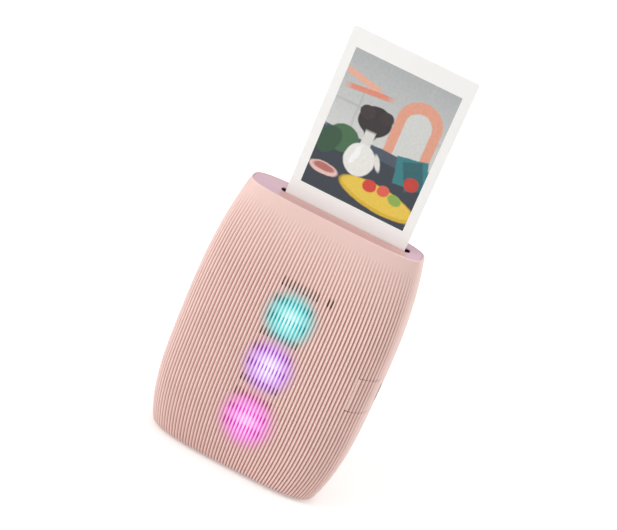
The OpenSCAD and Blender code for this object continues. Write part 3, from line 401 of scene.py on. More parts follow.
# Of each lamp: its height, the half width and half height of its glow, the colours of the glow on
# a ridge and in a groove from the middle outwards, and its colours in a slot, near and far.
LAMPS = {
    "teal": (82.2, (14.4, 15.6), ("#F4FFFF", "#CFF9F8", "#B6F1EF", "#C3D6D2"),
             ("#7FE6E5", "#3FC8C7", "#239FA0", "#568684"), ("#14A6A6", "#0A6462")),
    "violet": (58.2, (14.4, 16.4), ("#FFFFFF", "#FBF0FF", "#F3CEFA", "#E9BCE3"),
               ("#DDB2F4", "#C080E4", "#A250C8", "#96608E"), ("#9A3FCF", "#651F80")),
    "magenta": (30.0, (15.8, 18.2), ("#FFE2FA", "#FFCDF5", "#FFBBEE", "#F4B0CC"),
                ("#F582E2", "#EA50D0", "#D040B2", "#B0608A"), ("#D61FB6", "#9A1766")),
}


def lamp_glow(tree, place, height, size, *bands):
    """The share of a lamp's glow at each point, and the colour of each band of colours there."""
    parts = add(tree, "ShaderNodeSeparateXYZ", None, {0: place})
    flat = add(tree, "ShaderNodeCombineXYZ", None,
               {"X": parts.outputs["X"], "Z": parts.outputs["Z"]})
    away = add(tree, "ShaderNodeVectorMath", {"operation": "SUBTRACT"},
               {0: flat, 1: (GLOW_ASIDE * MM, 0, height * MM)})
    scaled = add(tree, "ShaderNodeVectorMath", {"operation": "DIVIDE"},
                 {0: away, 1: (size[0] * MM, 1.0, size[1] * MM)})
    reach = add(tree, "ShaderNodeVectorMath", {"operation": "LENGTH"}, {0: scaled}).outputs["Value"]
    share = add(tree, "ShaderNodeMapRange", {"interpolation_type": "SMOOTHSTEP"},
                {"Value": reach, "From Min": 1.0, "From Max": GLOW_FULL})
    found = []
    for codes in bands:
        ramp = add(tree, "ShaderNodeValToRGB", None, {0: reach})
        ramp.color_ramp.elements.remove(ramp.color_ramp.elements[1])
        for i, (at, code) in enumerate(zip(RAMP_PLACES, codes)):
            stop = ramp.color_ramp.elements[0] if i == 0 else ramp.color_ramp.elements.new(at)
            stop.position, stop.color = at, colour(code)
        found.append(ramp.outputs["Color"])
    return share.outputs[0], found


print("lamps:", ", ".join(LAMPS))

# %% Shell plastic and glow
# Plain shell plastic is a soft, even pink. The ribbed wall has the same pink on the flanks of its
# ribs, a paler one on the ridges, a painted highlight, and a browner one in the grooves, painted
# shade where the ribs shade each other. SHADE is a darker painted shade for the walls of slits.
PINK, GROOVE_SHADE_PINK, RIDGE_HIGHLIGHT_PINK, SHADE = "#EDCBC3", "#B3746B", "#FFE2D9", "#5E3833"
SHELL_ROUGHNESS = 0.42
CUT_SHARE = 0.04  # below this the "ridge" attribute means the shaded wall of a slit
# The wall's own colour under the painted glow.
UNDER_PAINTED_GLOW = "#1C1416"  # what is left of the wall's own colour where it is lit right through

shell_pink, *_ = moulded("ABS, moulded, blush pink", PINK, SHELL_ROUGHNESS)
glow_and_rib_shade_pink, tree, shader, place = moulded("ABS, moulded, blush pink, painted glow and rib shade", "#FFFFFF",
                                        SHELL_ROUGHNESS)
ridge = add(tree, "ShaderNodeAttribute", {"attribute_name": "ridge"}).outputs["Fac"]
pinks = add(tree, "ShaderNodeValToRGB", None, {0: ridge})
pinks.color_ramp.elements[0].color = colour(SHADE)
pinks.color_ramp.elements[1].color = colour(RIDGE_HIGHLIGHT_PINK)
pinks.color_ramp.elements.new(CUT_SHARE).color = colour(GROOVE_SHADE_PINK)
pinks.color_ramp.elements.new(0.5).color = colour(PINK)
cloud = shader.inputs["Base Color"].links[0].from_socket
paler = add(tree, "ShaderNodeMix", MULTIPLY_COLOURS,
            {MIX_SHARE: 1.0, MIX_A: cloud, MIX_B: pinks.outputs["Color"]})
base = paler.outputs[MIX_OUT]
# The painted glow: each lamp's emission, with the wall's own colour taken down under it.
glow = colour("#000000")
for height, size, ridge_band, groove_band, _ in LAMPS.values():
    share, (high_colour, low_colour) = lamp_glow(tree, place, height, size, ridge_band, groove_band)
    ribbed = add(tree, "ShaderNodeMix", MIX_COLOURS,
                 {MIX_SHARE: ridge, MIX_A: low_colour, MIX_B: high_colour})
    glow = add(tree, "ShaderNodeMix", MIX_COLOURS,
               {MIX_SHARE: share, MIX_A: glow, MIX_B: ribbed.outputs[MIX_OUT]}).outputs[MIX_OUT]
    base = add(tree, "ShaderNodeMix", MIX_COLOURS,
               {MIX_SHARE: share, MIX_A: base, MIX_B: colour(UNDER_PAINTED_GLOW)}).outputs[MIX_OUT]
tree.links.new(base, shader.inputs["Base Color"])
tree.links.new(glow, shader.inputs["Emission Color"])
shader.inputs["Emission Strength"].default_value = 1.0
print("shell plastic:", len(tree.nodes), "nodes")

# %% [markdown]
# ## The ribs, by Geometry Nodes
# A rib is a rule, not a shape to be drawn sixty times: the depth of the wall's face follows a wave
# in the distance round the body. So the tree moves the points of a smooth barrel inwards by that
# wave. The barrel carries two attributes for it, the distance round the belly and the direction
# inwards, and the tree adds a third, from nearly 0 at the bottom of a groove to nearly 1 on top of
# a ridge. The colour reads it to paint a highlight on the ridges and shade in the grooves. The ribs
# grow out of a smooth lip at the top and end before the smooth bands at the sides.

# %% Rib tree: the wave
RIB_PITCH, RIB_DEPTH = 1.62, 0.5
RIB_START, RIB_FADE = 5.6, 27.0
SMOOTH_BAND, BAND_FADE = 7.8, 4.8
RIB_ROUNDNESS = 1.25  # above 1 the ridges are broader than the grooves

rib_tree, given, result = new_geometry_tree("carve the ribs", {
    "Pitch": "Float", "Depth": "Float", "Top": "Float", "Fade": "Float", "Limit": "Float",
    "Limit fade": "Float", "Roundness": "Float"})
where = add(rib_tree, "ShaderNodeSeparateXYZ", None,
            {0: add(rib_tree, "GeometryNodeInputPosition")})
around = add(rib_tree, "GeometryNodeInputNamedAttribute", {"data_type": "FLOAT"},
             {"Name": "around"})
inwards = add(rib_tree, "GeometryNodeInputNamedAttribute", {"data_type": "FLOAT_VECTOR"},
              {"Name": "inwards"})
phase = add(rib_tree, "ShaderNodeMath", {"operation": "DIVIDE"},
            {0: around, 1: given.outputs["Pitch"]})
turned = add(rib_tree, "ShaderNodeMath", {"operation": "MULTIPLY"}, {0: phase, 1: math.tau})
wave = add(rib_tree, "ShaderNodeMath", {"operation": "COSINE"}, {0: turned})
share = add(rib_tree, "ShaderNodeMapRange", None,
            {"Value": wave, "From Min": -1.0, "From Max": 1.0})
groove = add(rib_tree, "ShaderNodeMath", {"operation": "POWER"},
             {0: share, 1: given.outputs["Roundness"]})
print("ribs:", int(2 * (QUARTER - SMOOTH_BAND) / RIB_PITCH), "between the smooth bands")

# %% Rib tree: where the ribs fade
below_top = add(rib_tree, "ShaderNodeMath", {"operation": "SUBTRACT"},
                {0: given.outputs["Top"], 1: where.outputs["Z"]})
rising = add(rib_tree, "ShaderNodeMath", {"operation": "DIVIDE", "use_clamp": True},
             {0: below_top, 1: given.outputs["Fade"]})
sideways = add(rib_tree, "ShaderNodeMath", {"operation": "ABSOLUTE"}, {0: around})
to_band = add(rib_tree, "ShaderNodeMath", {"operation": "SUBTRACT"},
              {0: given.outputs["Limit"], 1: sideways})
ending = add(rib_tree, "ShaderNodeMath", {"operation": "DIVIDE", "use_clamp": True},
             {0: to_band, 1: given.outputs["Limit fade"]})
growing = add(rib_tree, "ShaderNodeMath", {"operation": "SQRT"}, {0: rising})
reach = add(rib_tree, "ShaderNodeMath", {"operation": "MULTIPLY"}, {0: growing, 1: ending})
print("ribs fade over", RIB_FADE, "mm at the top and", BAND_FADE, "mm at the bands")

# %% Rib tree: moving the points and marking them
depth = add(rib_tree, "ShaderNodeMath", {"operation": "MULTIPLY"},
            {0: reach, 1: given.outputs["Depth"]})
cut = add(rib_tree, "ShaderNodeMath", {"operation": "MULTIPLY"}, {0: depth, 1: groove})
move = add(rib_tree, "ShaderNodeVectorMath", {"operation": "SCALE"}, {0: inwards, "Scale": cut})
carved = add(rib_tree, "GeometryNodeSetPosition", None,
             {"Geometry": given.outputs["Mesh"], "Offset": move})
# The "ridge" attribute: the shell's colour reads it for its painted highlight and painted shade.
crest = add(rib_tree, "ShaderNodeMath", {"operation": "SUBTRACT"}, {0: 0.5, 1: share})
swing = add(rib_tree, "ShaderNodeMath", {"operation": "MULTIPLY"}, {0: reach, 1: 1 - 2 * CUT_SHARE})
scaled = add(rib_tree, "ShaderNodeMath", {"operation": "MULTIPLY_ADD"},
             {0: crest, 1: swing, 2: 0.5})
marked = add(rib_tree, "GeometryNodeStoreNamedAttribute",
             {"data_type": "FLOAT", "domain": "POINT"},
             {"Geometry": carved, "Name": "ridge", "Value": scaled})
made_real = add(rib_tree, "GeometryNodeRealizeInstances", None, {0: marked})
add_finish = add(rib_tree, "GeometryNodeSetMaterial", None,
                 {"Geometry": made_real, "Material": glow_and_rib_shade_pink})
rib_tree.links.new(add_finish.outputs[0], result.inputs[0])
print("rib tree:", len(rib_tree.nodes), "nodes")


def carve_ribs(piece, around):
    """Runs the rib tree on a piece whose points have these distances round the belly."""
    x, y = section(angle_at(np.asarray(around)))
    inwards = np.stack([-x, -y, 0 * x], -1)
    for name, kind, field, values in (("around", "FLOAT", "value", around),
                                      ("inwards", "FLOAT_VECTOR", "vector", inwards)):
        attribute = piece.data.attributes.new(name, kind, "POINT")
        attribute.data.foreach_set(field, np.asarray(values, np.float32).ravel())
    return run_tree(piece, rib_tree, {
        "Pitch": RIB_PITCH, "Depth": RIB_DEPTH * MM, "Top": (BODY_H - RIB_START) * MM,
        "Fade": RIB_FADE * MM, "Limit": QUARTER - SMOOTH_BAND, "Limit fade": BAND_FADE,
        "Roundness": RIB_ROUNDNESS})


# %% [markdown]
# ## Skins, rooms and seats
# The real shells are two half barrels with a 1.8 mm wall. Here each is cut from the solid barrel: a
# skin is the whole solid, a room is what is taken out inside its walls, and a seat is the step in
# the rim that takes the cap. In height the skin needs only enough points for the barrel's slow
# curve and for its rounded ends, so those stand closer together there.

# %% Skins and cutters of the shells
WALL, LIP_ROUND, CAP_THICK, RIM = 1.8, 0.5, 1.8, 0.5
CAP_LOW = BODY_H - CAP_THICK
PARTING_CHAMFER = 0.15
CLEAR = 1.0  # a cutter starts or ends this far outside what it cuts
TOP_CLEAR = 2.0
FULL_TURN = -90 + np.arange(160) * 2.25


def from_end(radius, steps):
    """How far from its end the rows of points round a rounded edge lie, the end first."""
    return radius * (1 - np.cos(np.linspace(0, math.pi / 2, steps)))


def to_end(radius, steps):
    """The same, with the end last."""
    return radius * (1 - np.sin(np.linspace(0, math.pi / 2, steps)))


LEVELS = np.unique(np.concatenate([
    from_end(EDGE_ROUND, 8), np.linspace(EDGE_ROUND, BODY_H - LIP_ROUND, 56),
    BODY_H - to_end(LIP_ROUND, 5)]).round(4))
INSIDE = np.concatenate([WALL + from_end(EDGE_ROUND, 6),
                         np.linspace(WALL + EDGE_ROUND, BODY_H, 40)[1:]])


def skin(name, angles, inset=0.0):
    """The solid barrel, with a chamfer where its two halves meet."""
    parting = np.isclose(np.abs(angles), 90) | np.isclose(angles, 270)
    inset = np.where(parting, inset + PARTING_CHAMFER, inset)
    return loft(name, np.stack([barrel(angles, z, inset + rounded_in(BODY_H - z, LIP_ROUND))
                                for z in LEVELS]))


def hollow():
    """The room inside the walls. It runs on straight out of the top."""
    rings = np.stack([barrel(FULL_TURN, min(z, BODY_H), WALL) for z in [*INSIDE, BODY_H]])
    rings[-1, :, 2] = BODY_H + TOP_CLEAR
    return loft("hollow", rings)


def cap_seat():
    """The step in the rim of the shells that takes the cap."""
    rings = np.stack([barrel(FULL_TURN, BODY_H, RIM)] * 2)
    rings[0, :, 2], rings[1, :, 2] = CAP_LOW, BODY_H + TOP_CLEAR
    return loft("cap seat", rings)


def wall_patch(name, start, end, low, high, outside, inside, corner, per_mm):
    """A piece of the wall between two distances round the body, with round corners at its start.

    It also gives each point's distance round the body, which is out of the ribs' reach inside.
    """
    rows = np.unique(np.concatenate([low + from_end(corner, 7), high - from_end(corner, 7),
                                     np.linspace(low + corner, high - corner, 9)]).round(5))
    share = np.linspace(0, 1, int((end - start) * per_mm) + 1)
    rings, distances = [], []
    for z in rows:
        left = start + rounded_in(min(z - low, high - z), corner)
        around = left + (end - left) * share
        rings.append(np.concatenate([barrel(angle_at(around), z, outside),
                                     barrel(angle_at(around[::-1]), z, inside)]))
        distances += [around, np.full(len(around), QUARTER)]
    return loft(name, np.stack(rings)), np.concatenate(distances)


print("rows of points in height:", len(LEVELS), "on a skin,", len(INSIDE), "in the room")

# %% [markdown]
# ## The front shell
# It is the front half of the barrel, and its outer skin needs ten points to a rib. The hollow, the
# seat of the cap, the port's opening and the bores are cut from the solid barrel, in the order in
# which a mould maker would add the cores. The screw bosses are columns that the hollow leaves
# standing, so nothing has to be joined on. A tiny chamfer on the parting edge makes the fine line
# that shows between the two shells. The new points round the port take the value of the nearest
# point along their rib, so that the ribs keep their tone right up to the edge.

# %% Sizes of what is cut from the front shell
PORT_ARC, PORT_END = 37.3, QUARTER - 0.6  # distances round the belly
PORT_GAP, EDGE_GAP = 0.5, 0.28  # on the hinge side, where the flap swings, and above and below it
PORT_Z, PORT_H, PORT_CORNER = 62.6, 16.3, 0.4
COVER_AXIS, KNUCKLE, PIN_BORE = (36.805, -13.668), 0.9, 0.4
COVER_T, COVER_CORNER, KNUCKLE_SHORT = 1.8, 0.7, 0.15
CUT_OUT, CUT_IN = 3.0, 4.0  # how far the opening's cutter stands out of the wall, and inside it
PIN_OUT, PIN_HALF = 1.0, 1.3  # from the cover's end to a pin bore's middle, and half the bore
SCREWS = [(x, z) for x in (-31.3, 38.3) for z in (22.0, 88.0)]
BOSS, BOSS_BORE, BOSS_END, BORE_DEEP = 2.2, 0.9, -4.15, 7.0
FAR_X, FAR_Y, FAR_LOW, FAR_HIGH = 60, 40, -5, 140  # a box well outside the body
FRONT_HALF = (-FAR_X, -FAR_Y, FAR_LOW), (FAR_X, 0, FAR_HIGH)
BACK_HALF = (-FAR_X, 0, FAR_LOW), (FAR_X, FAR_Y, FAR_HIGH)
port_low, port_high = PORT_Z - PORT_H / 2, PORT_Z + PORT_H / 2
print("port cover from", port_low, "to", port_high, "mm; screws:", len(SCREWS))

# %% Front shell
PER_RIB = 10  # points
last = int(QUARTER / RIB_PITCH * PER_RIB)
rib_steps = np.arange(-last, last + 1) * RIB_PITCH / PER_RIB
front_around = np.concatenate([[-QUARTER], rib_steps, [QUARTER]])
far_side = np.arange(92, 270, 4.0)  # coarse, because this half is cut away
around_all = np.concatenate([front_around, np.full(len(far_side), QUARTER)])
front = skin("front_ribbed_shell", np.concatenate([angle_at(front_around), far_side]))
carve_ribs(front, np.tile(around_all, len(LEVELS)))
port_cutter, _ = wall_patch("port cutter", PORT_ARC - PORT_GAP, QUARTER + CUT_OUT,
                            port_low - EDGE_GAP, port_high + EDGE_GAP, -CUT_OUT, COVER_T + CUT_IN,
                            PORT_CORNER + EDGE_GAP, per_mm=3)
front_room = combine(hollow(), [rod((x, z), BOSS, -FAR_Y, BOSS_END, "y") for x, z in SCREWS])
combine(front, [block(*BACK_HALF), front_room, cap_seat()])
combine(front, [port_cutter], cut_share=None)
combine(front, [rod((x, z), BOSS_BORE, BOSS_END - BORE_DEEP, BOSS_END + CLEAR, "y")
                for x, z in SCREWS] +
        [rod(COVER_AXIS, PIN_BORE, z - PIN_HALF, z + PIN_HALF, "z")
         for z in (port_low - PIN_OUT, port_high + PIN_OUT)])
print("front shell before its slots:", len(front.data.polygons), "faces",
      [a.name for a in front.data.attributes])

# %% [markdown]
# ## The light slots, by Geometry Nodes
# Ten rows of eleven narrow slots lie in the grooves between the ribs, and two more stand beside the
# first row. One slot is drawn once, as a small cutter with round ends. The tree sets it on every
# place, turns the instances into real mesh and cuts them all from the shell in one Boolean.

# %% Slot tree
slot_tree, given, result = new_geometry_tree("cut the light slots", {
    "Places": "Object", "Slot": "Object", "Finish": "Material"})
places = add(slot_tree, "GeometryNodeObjectInfo", None, {"Object": given.outputs["Places"]})
shape = add(slot_tree, "GeometryNodeObjectInfo", None, {"Object": given.outputs["Slot"]})
set_out = add(slot_tree, "GeometryNodeInstanceOnPoints", None,
              {"Points": places.outputs["Geometry"], "Instance": shape.outputs["Geometry"]})
cutters = add(slot_tree, "GeometryNodeRealizeInstances", None, {0: set_out})
pierced = add(slot_tree, "GeometryNodeMeshBoolean",
              {"operation": "DIFFERENCE", "solver": "MANIFOLD"},
              {"Mesh 1": given.outputs["Mesh"], "Mesh 2": cutters})
made_real = add(slot_tree, "GeometryNodeRealizeInstances", None, {0: pierced.outputs["Mesh"]})
add_finish = add(slot_tree, "GeometryNodeSetMaterial", None,
                 {"Geometry": made_real, "Material": given.outputs["Finish"]})
slot_tree.links.new(add_finish.outputs[0], result.inputs[0])
print("slot tree:", len(slot_tree.nodes), "nodes")

# %% Slots
SLOT_COLUMNS, SLOT_ROWS, SLOT_LONG, SLOT_WIDE = 11, 10, 3.3, 0.6
SLOT_TOP, SLOT_STEP = 96.0, 7.8
SLOT_OUT, SLOT_IN = 2.5, 3.5  # how far the cutter stands out of the wall's face, and inside it
BESIDE = (3, 4)  # columns from the last one to the two more slots of the first row
HAIR = 0.01  # taken off a radius, so that no two points of an outline meet

half = SLOT_COLUMNS // 2
spots = [(column, row) for row in range(SLOT_ROWS) for column in range(-half, half + 1)]
spots += [(half + column, 0) for column in BESIDE]
points = [barrel(angle_at(column * RIB_PITCH), SLOT_TOP - row * SLOT_STEP)
          for column, row in spots]
slot_places = make_piece("slot places", np.stack(points), [])
slot_outline = round_rect(0, 0, SLOT_WIDE, SLOT_LONG, SLOT_WIDE / 2 - HAIR, steps=4)
slot_shape = extrude("slot shape", slot_outline, -SLOT_OUT, SLOT_IN, "y")
# The Boolean leaves the slots' walls with 0 as their "ridge", so they take the painted shade,
# SHADE.
run_tree(front, slot_tree, {"Places": slot_places, "Slot": slot_shape, "Finish": glow_and_rib_shade_pink})
for helper in (slot_places, slot_shape):
    bpy.data.objects.remove(helper)
finish(front, None, "shell_plastic", "case", "front_shell")
print("slots:", len(spots), "front shell:", len(front.data.polygons), "faces",
      [a.name for a in front.data.attributes])

# %% [markdown]
# ## The port cover
# A small flap in the ribbed wall hides the charging port. It is the same wall with the same ribs,
# so it goes through the same rib tree, and the ribs run on across its gap. Its hinge edge is a
# round knuckle on a steel pin, which stands out about as far as a rib. Its colour is painted like
# a rib's, a painted highlight where it faces out and painted shade to its sides, so that it reads
# as one more rib. The opening is widest on the hinge side, where the flap's edge swings inwards. A
# nail slit near the parting edge opens the flap, and its walls are painted in shade.

# %% Port cover
NAIL_ARC, NAIL_H, NAIL_HALF, NAIL_DEEP, NAIL_CORNER = QUARTER - 2.3, 7.6, 1.1, 0.9, 0.2

cover, distances = wall_patch("port_cover_flap", PORT_ARC + KNUCKLE, PORT_END, port_low, port_high,
                              0.0, COVER_T, COVER_CORNER, per_mm=PER_RIB / RIB_PITCH)
carve_ribs(cover, distances)
knuckle = rod(COVER_AXIS, KNUCKLE, port_low + KNUCKLE_SHORT, port_high - KNUCKLE_SHORT, "z")
# The knuckle's "ridge" follows how far each point faces out: painted highlight in front, painted
# shade to the sides.
ahead = barrel(angle_at(PORT_ARC + 2 * KNUCKLE), PORT_Z) - barrel(angle_at(PORT_ARC), PORT_Z)
outward = np.array([ahead[1], -ahead[0]]) / np.hypot(ahead[0], ahead[1])
corners = np.array([v.co[:2] for v in knuckle.data.vertices]) / MM
facing = (corners - COVER_AXIS) @ outward / KNUCKLE
knuckle.data.attributes.new("ridge", "FLOAT", "POINT").data.foreach_set(
    "value", np.maximum(facing, CUT_SHARE).astype(np.float32))
combine(cover, [knuckle], "UNION", cut_share=None)
combine(cover, [rod(COVER_AXIS, PIN_BORE, port_low - CLEAR, port_high + CLEAR, "z")])
nail = barrel(angle_at(NAIL_ARC), PORT_Z)
nail_outline = round_rect(nail[1], PORT_Z, 2 * NAIL_HALF, NAIL_H, NAIL_CORNER, steps=3)
# The slit's walls get 0 as their "ridge": the painted shade, SHADE.
combine(cover, [extrude("nail slit", nail_outline, nail[0] - NAIL_DEEP, BODY_W, "x")],
        cut_share=0.0)  # all in shade
finish(cover, None, "shell_plastic", "port_cover_body", "port_cover")
print("port cover:", len(cover.data.polygons), "faces")

# %% [markdown]
# ## The rear shell
# The back is the smooth half of the barrel. A doorway is cut in it for the film door, and it has
# two notches for the door's hinges and two holes for the side buttons. A plain Boolean for each is
# enough, because nothing here follows a pattern.

# %% Rear shell
DOOR = (3.5, 55.3, 66.0, 95.4)  # middle x, middle z, width and height of the opening
DOOR_CORNER, DOOR_GAP, DOOR_FROM = 4.0, 0.3, 5
HINGES = (-17.5, 24.5)
NOTCH_HALF, NOTCH_Y, NOTCH_LOW, NOTCH_HIGH = 5.15, 7.45, 4.2, 8.6
BUTTON_Y, BUTTONS, BUTTON_W, BUTTON_LEN = 4.9, {"power": 79.0, "function": 61.0}, 4.6, 12.0
HOLE_PLAY, HOLE_ROUND, HOLE_OUT, HOLE_IN = 0.42, 0.2, -47, -37

side_to_back = np.linspace(QUARTER, 2 * QUARTER, 60)
cut_away = np.arange(-80, 81, 20.0)  # coarse, for the same reason as on the front shell
rear_angles = np.concatenate([cut_away, angle_at(side_to_back),
                              360 + angle_at(-side_to_back[-2::-1])])


def back_prism(name, place, corner, wider, start):
    """A prism with round corners through the back wall, wider by this much on each side."""
    x, z, width, height = place
    outline = round_rect(x, z, width + 2 * wider, height + 2 * wider, corner + wider)
    return extrude(name, outline, start, FAR_Y, "y")


def button_hole(z):
    outline = round_rect(BUTTON_Y, z, BUTTON_W + HOLE_PLAY, BUTTON_LEN + HOLE_PLAY,
                         BUTTON_W / 2 + HOLE_ROUND, steps=10)
    return extrude("hole", outline, HOLE_OUT, HOLE_IN, "x")


rear = skin("rear_smooth_shell", rear_angles)
combine(rear, [block(*FRONT_HALF), hollow(), cap_seat(),
               back_prism("doorway", DOOR, DOOR_CORNER, 0, DOOR_FROM)] +
        [block((x - NOTCH_HALF, NOTCH_Y, NOTCH_LOW), (x + NOTCH_HALF, FAR_Y, NOTCH_HIGH))
         for x in HINGES] +
        [button_hole(z) for z in BUTTONS.values()])
finish(rear, shell_pink, "shell_plastic", "case", "rear_shell")
print("rear shell:", len(rear.data.polygons), "faces")

# %% [markdown]
# ## The film door
# A real door is moulded to match the shell. Here it is cut from the same skin as the shell, so the
# two stay flush, with a gap of 0.3 mm round it. Inside, the door keeps two blocks for its hinges
# and one for its latch: the room inside its wall is smaller by those blocks before it is cut out.

# %% Film door
LATCH_Y, LATCH_Z = 15.76, 94.0
WINDOW, WINDOW_CORNER = (3.5, 63.0, 16.0, 22.0), 2.0
WINDOW_GAP, WINDOW_FROM, WINDOW_SUNK, WINDOW_BEHIND = 0.2, 8, 0.25, 0.2
HINGE_HALF, HINGE_Y, HINGE_LOW, HINGE_HIGH, ROOM_Y = 4, 11.45, 7.6, 15.6, 38
LATCH_BLOCK = (-4, 10.76, 86.6), (11, ROOM_Y, 103)
LATCH_POCKET = (-2.3, 12.56, 88.3), (9.3, ROOM_Y, 97.3)
TONGUE_CHANNEL = (0.2, 12.56, 94), (6.8, 14.16, 103)

door_room = combine(hollow(), [
    block((x - HINGE_HALF, HINGE_Y, HINGE_LOW), (x + HINGE_HALF, ROOM_Y, HINGE_HIGH))
    for x in HINGES] + [block(*LATCH_BLOCK)])
door = combine(skin("film_door_panel", rear_angles),
               [back_prism("door outline", DOOR, DOOR_CORNER, -DOOR_GAP, DOOR_FROM)], "INTERSECT")
combine(door, [door_room, block(*LATCH_POCKET), block(*TONGUE_CHANNEL),
               back_prism("window opening", WINDOW, WINDOW_CORNER, WINDOW_GAP, WINDOW_FROM)])
finish(door, shell_pink, "shell_plastic", "film_door_body", "film_door")

window = combine(skin("film_door_window", rear_angles, inset=WINDOW_SUNK),
                 [back_prism("window outline", WINDOW, WINDOW_CORNER, 0, WINDOW_FROM)], "INTERSECT")
combine(window, [skin("inside", FULL_TURN, inset=WALL - WINDOW_BEHIND)])
print("film door:", len(door.data.polygons), "faces; window:", len(window.data.polygons))

# %% [markdown]
# ## The window in the door
# A strip of smoked polycarbonate shows how many sheets are left. It is clear plastic with a brown
# dye, so it is drawn as glass with a tint, and light is lost in it by the colour of its surface.
# Polished in the mould, it shows sharp reflections and a slight streak where the dye flowed.

# %% Smoked window
STREAK = 6.0

smoked_window, tree, shader, place = start_material(
    "polycarbonate, smoked, polished", "#5A4236", 0.08, ior=1.58)
shader.inputs["Transmission Weight"].default_value = 0.85
streak = add(tree, "ShaderNodeTexNoise", None,
             {"Vector": place, "Scale": 1 / (STREAK * MM), "Detail": 2.0})
dye = add(tree, "ShaderNodeMix", MIX_COLOURS,
          {MIX_SHARE: streak, MIX_A: colour("#4B362C"), MIX_B: colour("#6A5042")})
tree.links.new(dye.outputs[MIX_OUT], shader.inputs["Base Color"])
finish(window, smoked_window, "amber_window", "film_door_body", "door_window")
print("window:", smoked_window.name)

# %% [markdown]
# ## The top cap and its light-tight slot
# The cap is a separate flat plate of mauve plastic, let into the rim of the two shells. Its edge is
# turned down in a small round. The film slot runs across it, and in front of the film a strip of
# the plate slopes gently down to the slot. The strip is a rougher, darker pink: painted shade in
# front of the print. Film must not see daylight, so the slot's walls carry a black lining, which
# also paints the slot's shade dark and makes it look deep. The plate is a loft of a few rings,
# because only its edge is round.

# %% Finishes of the cap
# Fine satin gives the mauve plate one broad, soft highlight. The rough strip of painted shade has
# none, and the flocked foam of the lining takes all light.
cap_satin, *_ = moulded("ABS, moulded, mauve, fine satin", "#CBA8B4", 0.5, grain=0.3,
                        height=0.004, cloud=18.0, tone=0.03)
lip_shade_pink, *_ = moulded("ABS, moulded, blush pink, rough, painted shade", "#CDA49E", 0.8, grain=0.3,
                       height=0.006)
black_lining_and_shade, *_ = moulded("foam lining, black, flocked, painted shade", "#111012", 0.95, grain=0.4, height=0.03)
print("cap:", cap_satin.name, "and", lip_shade_pink.name)

# %% Top cap
FILM_X, SLOT_Y, SLOT_W, SLOT_D, SLOT_CORNER = 3.5, 0.0, 58.3, 3.1, 1.0
CAP_GAP, CAP_ROUND, CAP_REST = 0.1, 0.35, 0.05
LIP_LONG, LIP_DEEP, LIP_HALF = 5.6, 0.16, 28.2
CAP_CUT = 120, 130  # heights between which a cutter goes right through the cap
FLAT_NORMAL = 0.9  # a face whose normal is at least this much along an axis lies across it
SLOPED_NORMAL = 0.015  # the strip's faces lean back more than this, and the flat ones don't

cap_rings = []
for z, inset in [(CAP_LOW + CAP_REST, 0.0)] + [(BODY_H - d, rounded_in(d, CAP_ROUND))
                                               for d in to_end(CAP_ROUND, 5)]:
    cap_rings.append(barrel(FULL_TURN, BODY_H, RIM + CAP_GAP + inset))
    cap_rings[-1][:, 2] = z
cap = loft("top_cap_plate", np.stack(cap_rings))
lip_y = SLOT_Y - SLOT_D / 2
wedge = [(lip_y + CLEAR, BODY_H - LIP_DEEP), (lip_y + CLEAR, BODY_H + CLEAR),
         (lip_y - LIP_LONG, BODY_H + CLEAR), (lip_y - LIP_LONG, BODY_H),
         (lip_y, BODY_H - LIP_DEEP)]
slot_outline = round_rect(FILM_X, SLOT_Y, SLOT_W, SLOT_D, SLOT_CORNER)
combine(cap, [extrude("slot", slot_outline, *CAP_CUT, "z"),
              extrude("lip", np.array(wedge), FILM_X - LIP_HALF, FILM_X + LIP_HALF, "x")])
finish(cap, cap_satin, "cap_plastic", "case", "top_cap")
cap.data.materials.append(lip_shade_pink)
# The strip's sloping faces get the darker pink of the painted shade.
for face in cap.data.polygons:
    if face.center.y < 0 and face.normal.z > FLAT_NORMAL and face.normal.y > SLOPED_NORMAL:
        face.material_index = 1
print("top cap:", len(cap.data.polygons), "faces")

# %% Slot lining
LINING, LINING_BELOW, LINING_PLAY = 0.2, 0.3, 0.04

lining_outline = round_rect(FILM_X, SLOT_Y, SLOT_W - LINING_PLAY, SLOT_D - LINING_PLAY, SLOT_CORNER)
mouth_outline = round_rect(FILM_X, SLOT_Y, SLOT_W - 2 * LINING, SLOT_D - 2 * LINING,
                           SLOT_CORNER - LINING)
lining = extrude("slot_lining", lining_outline, CAP_LOW + CAP_REST, BODY_H - LINING_BELOW, "z")
combine(lining, [extrude("mouth", mouth_outline, *CAP_CUT, "z")])
finish(lining, black_lining_and_shade, "dark_plastic", "case")
print("slot lining:", len(lining.data.polygons), "faces")

# %% [markdown]
# ## The side buttons
# Each button is a pill with a rounded rim, on a stem that reaches its switch, and a flange that
# keeps it from falling out. It is lofted, because a bevel on a pill this small would need as many
# points as drawing the round itself.

# %% Buttons
FACE, BUTTON_T, BUTTON_ROUND = -44.85, 3.9, 0.7
FLANGE, FLANGE_WIDE, STEM, JOIN = 0.8, 0.6, 1.2, 0.02
BOARD_X, SWITCH_T, BUTTON_TRAVEL, STEM_GAP = -37.5, 1.9, 0.6, 0.1
STEM_END = BOARD_X - SWITCH_T - BUTTON_TRAVEL - STEM_GAP
PILL_HAIR = 0.001  # taken off the radius, so that the two round ends don't meet


def pill(name, y, z, width, length, stations, steps=10):
    """A rod along X with a pill-shaped section; stations are (x, how far it is drawn in)."""
    rings = []
    for x, inset in stations:
        outline = round_rect(y, z, width - 2 * inset, length - 2 * inset,
                             width / 2 - inset - PILL_HAIR, steps)
        rings.append(np.insert(outline, 0, x, axis=1))
    return face_outwards(loft(name, np.stack(rings)))


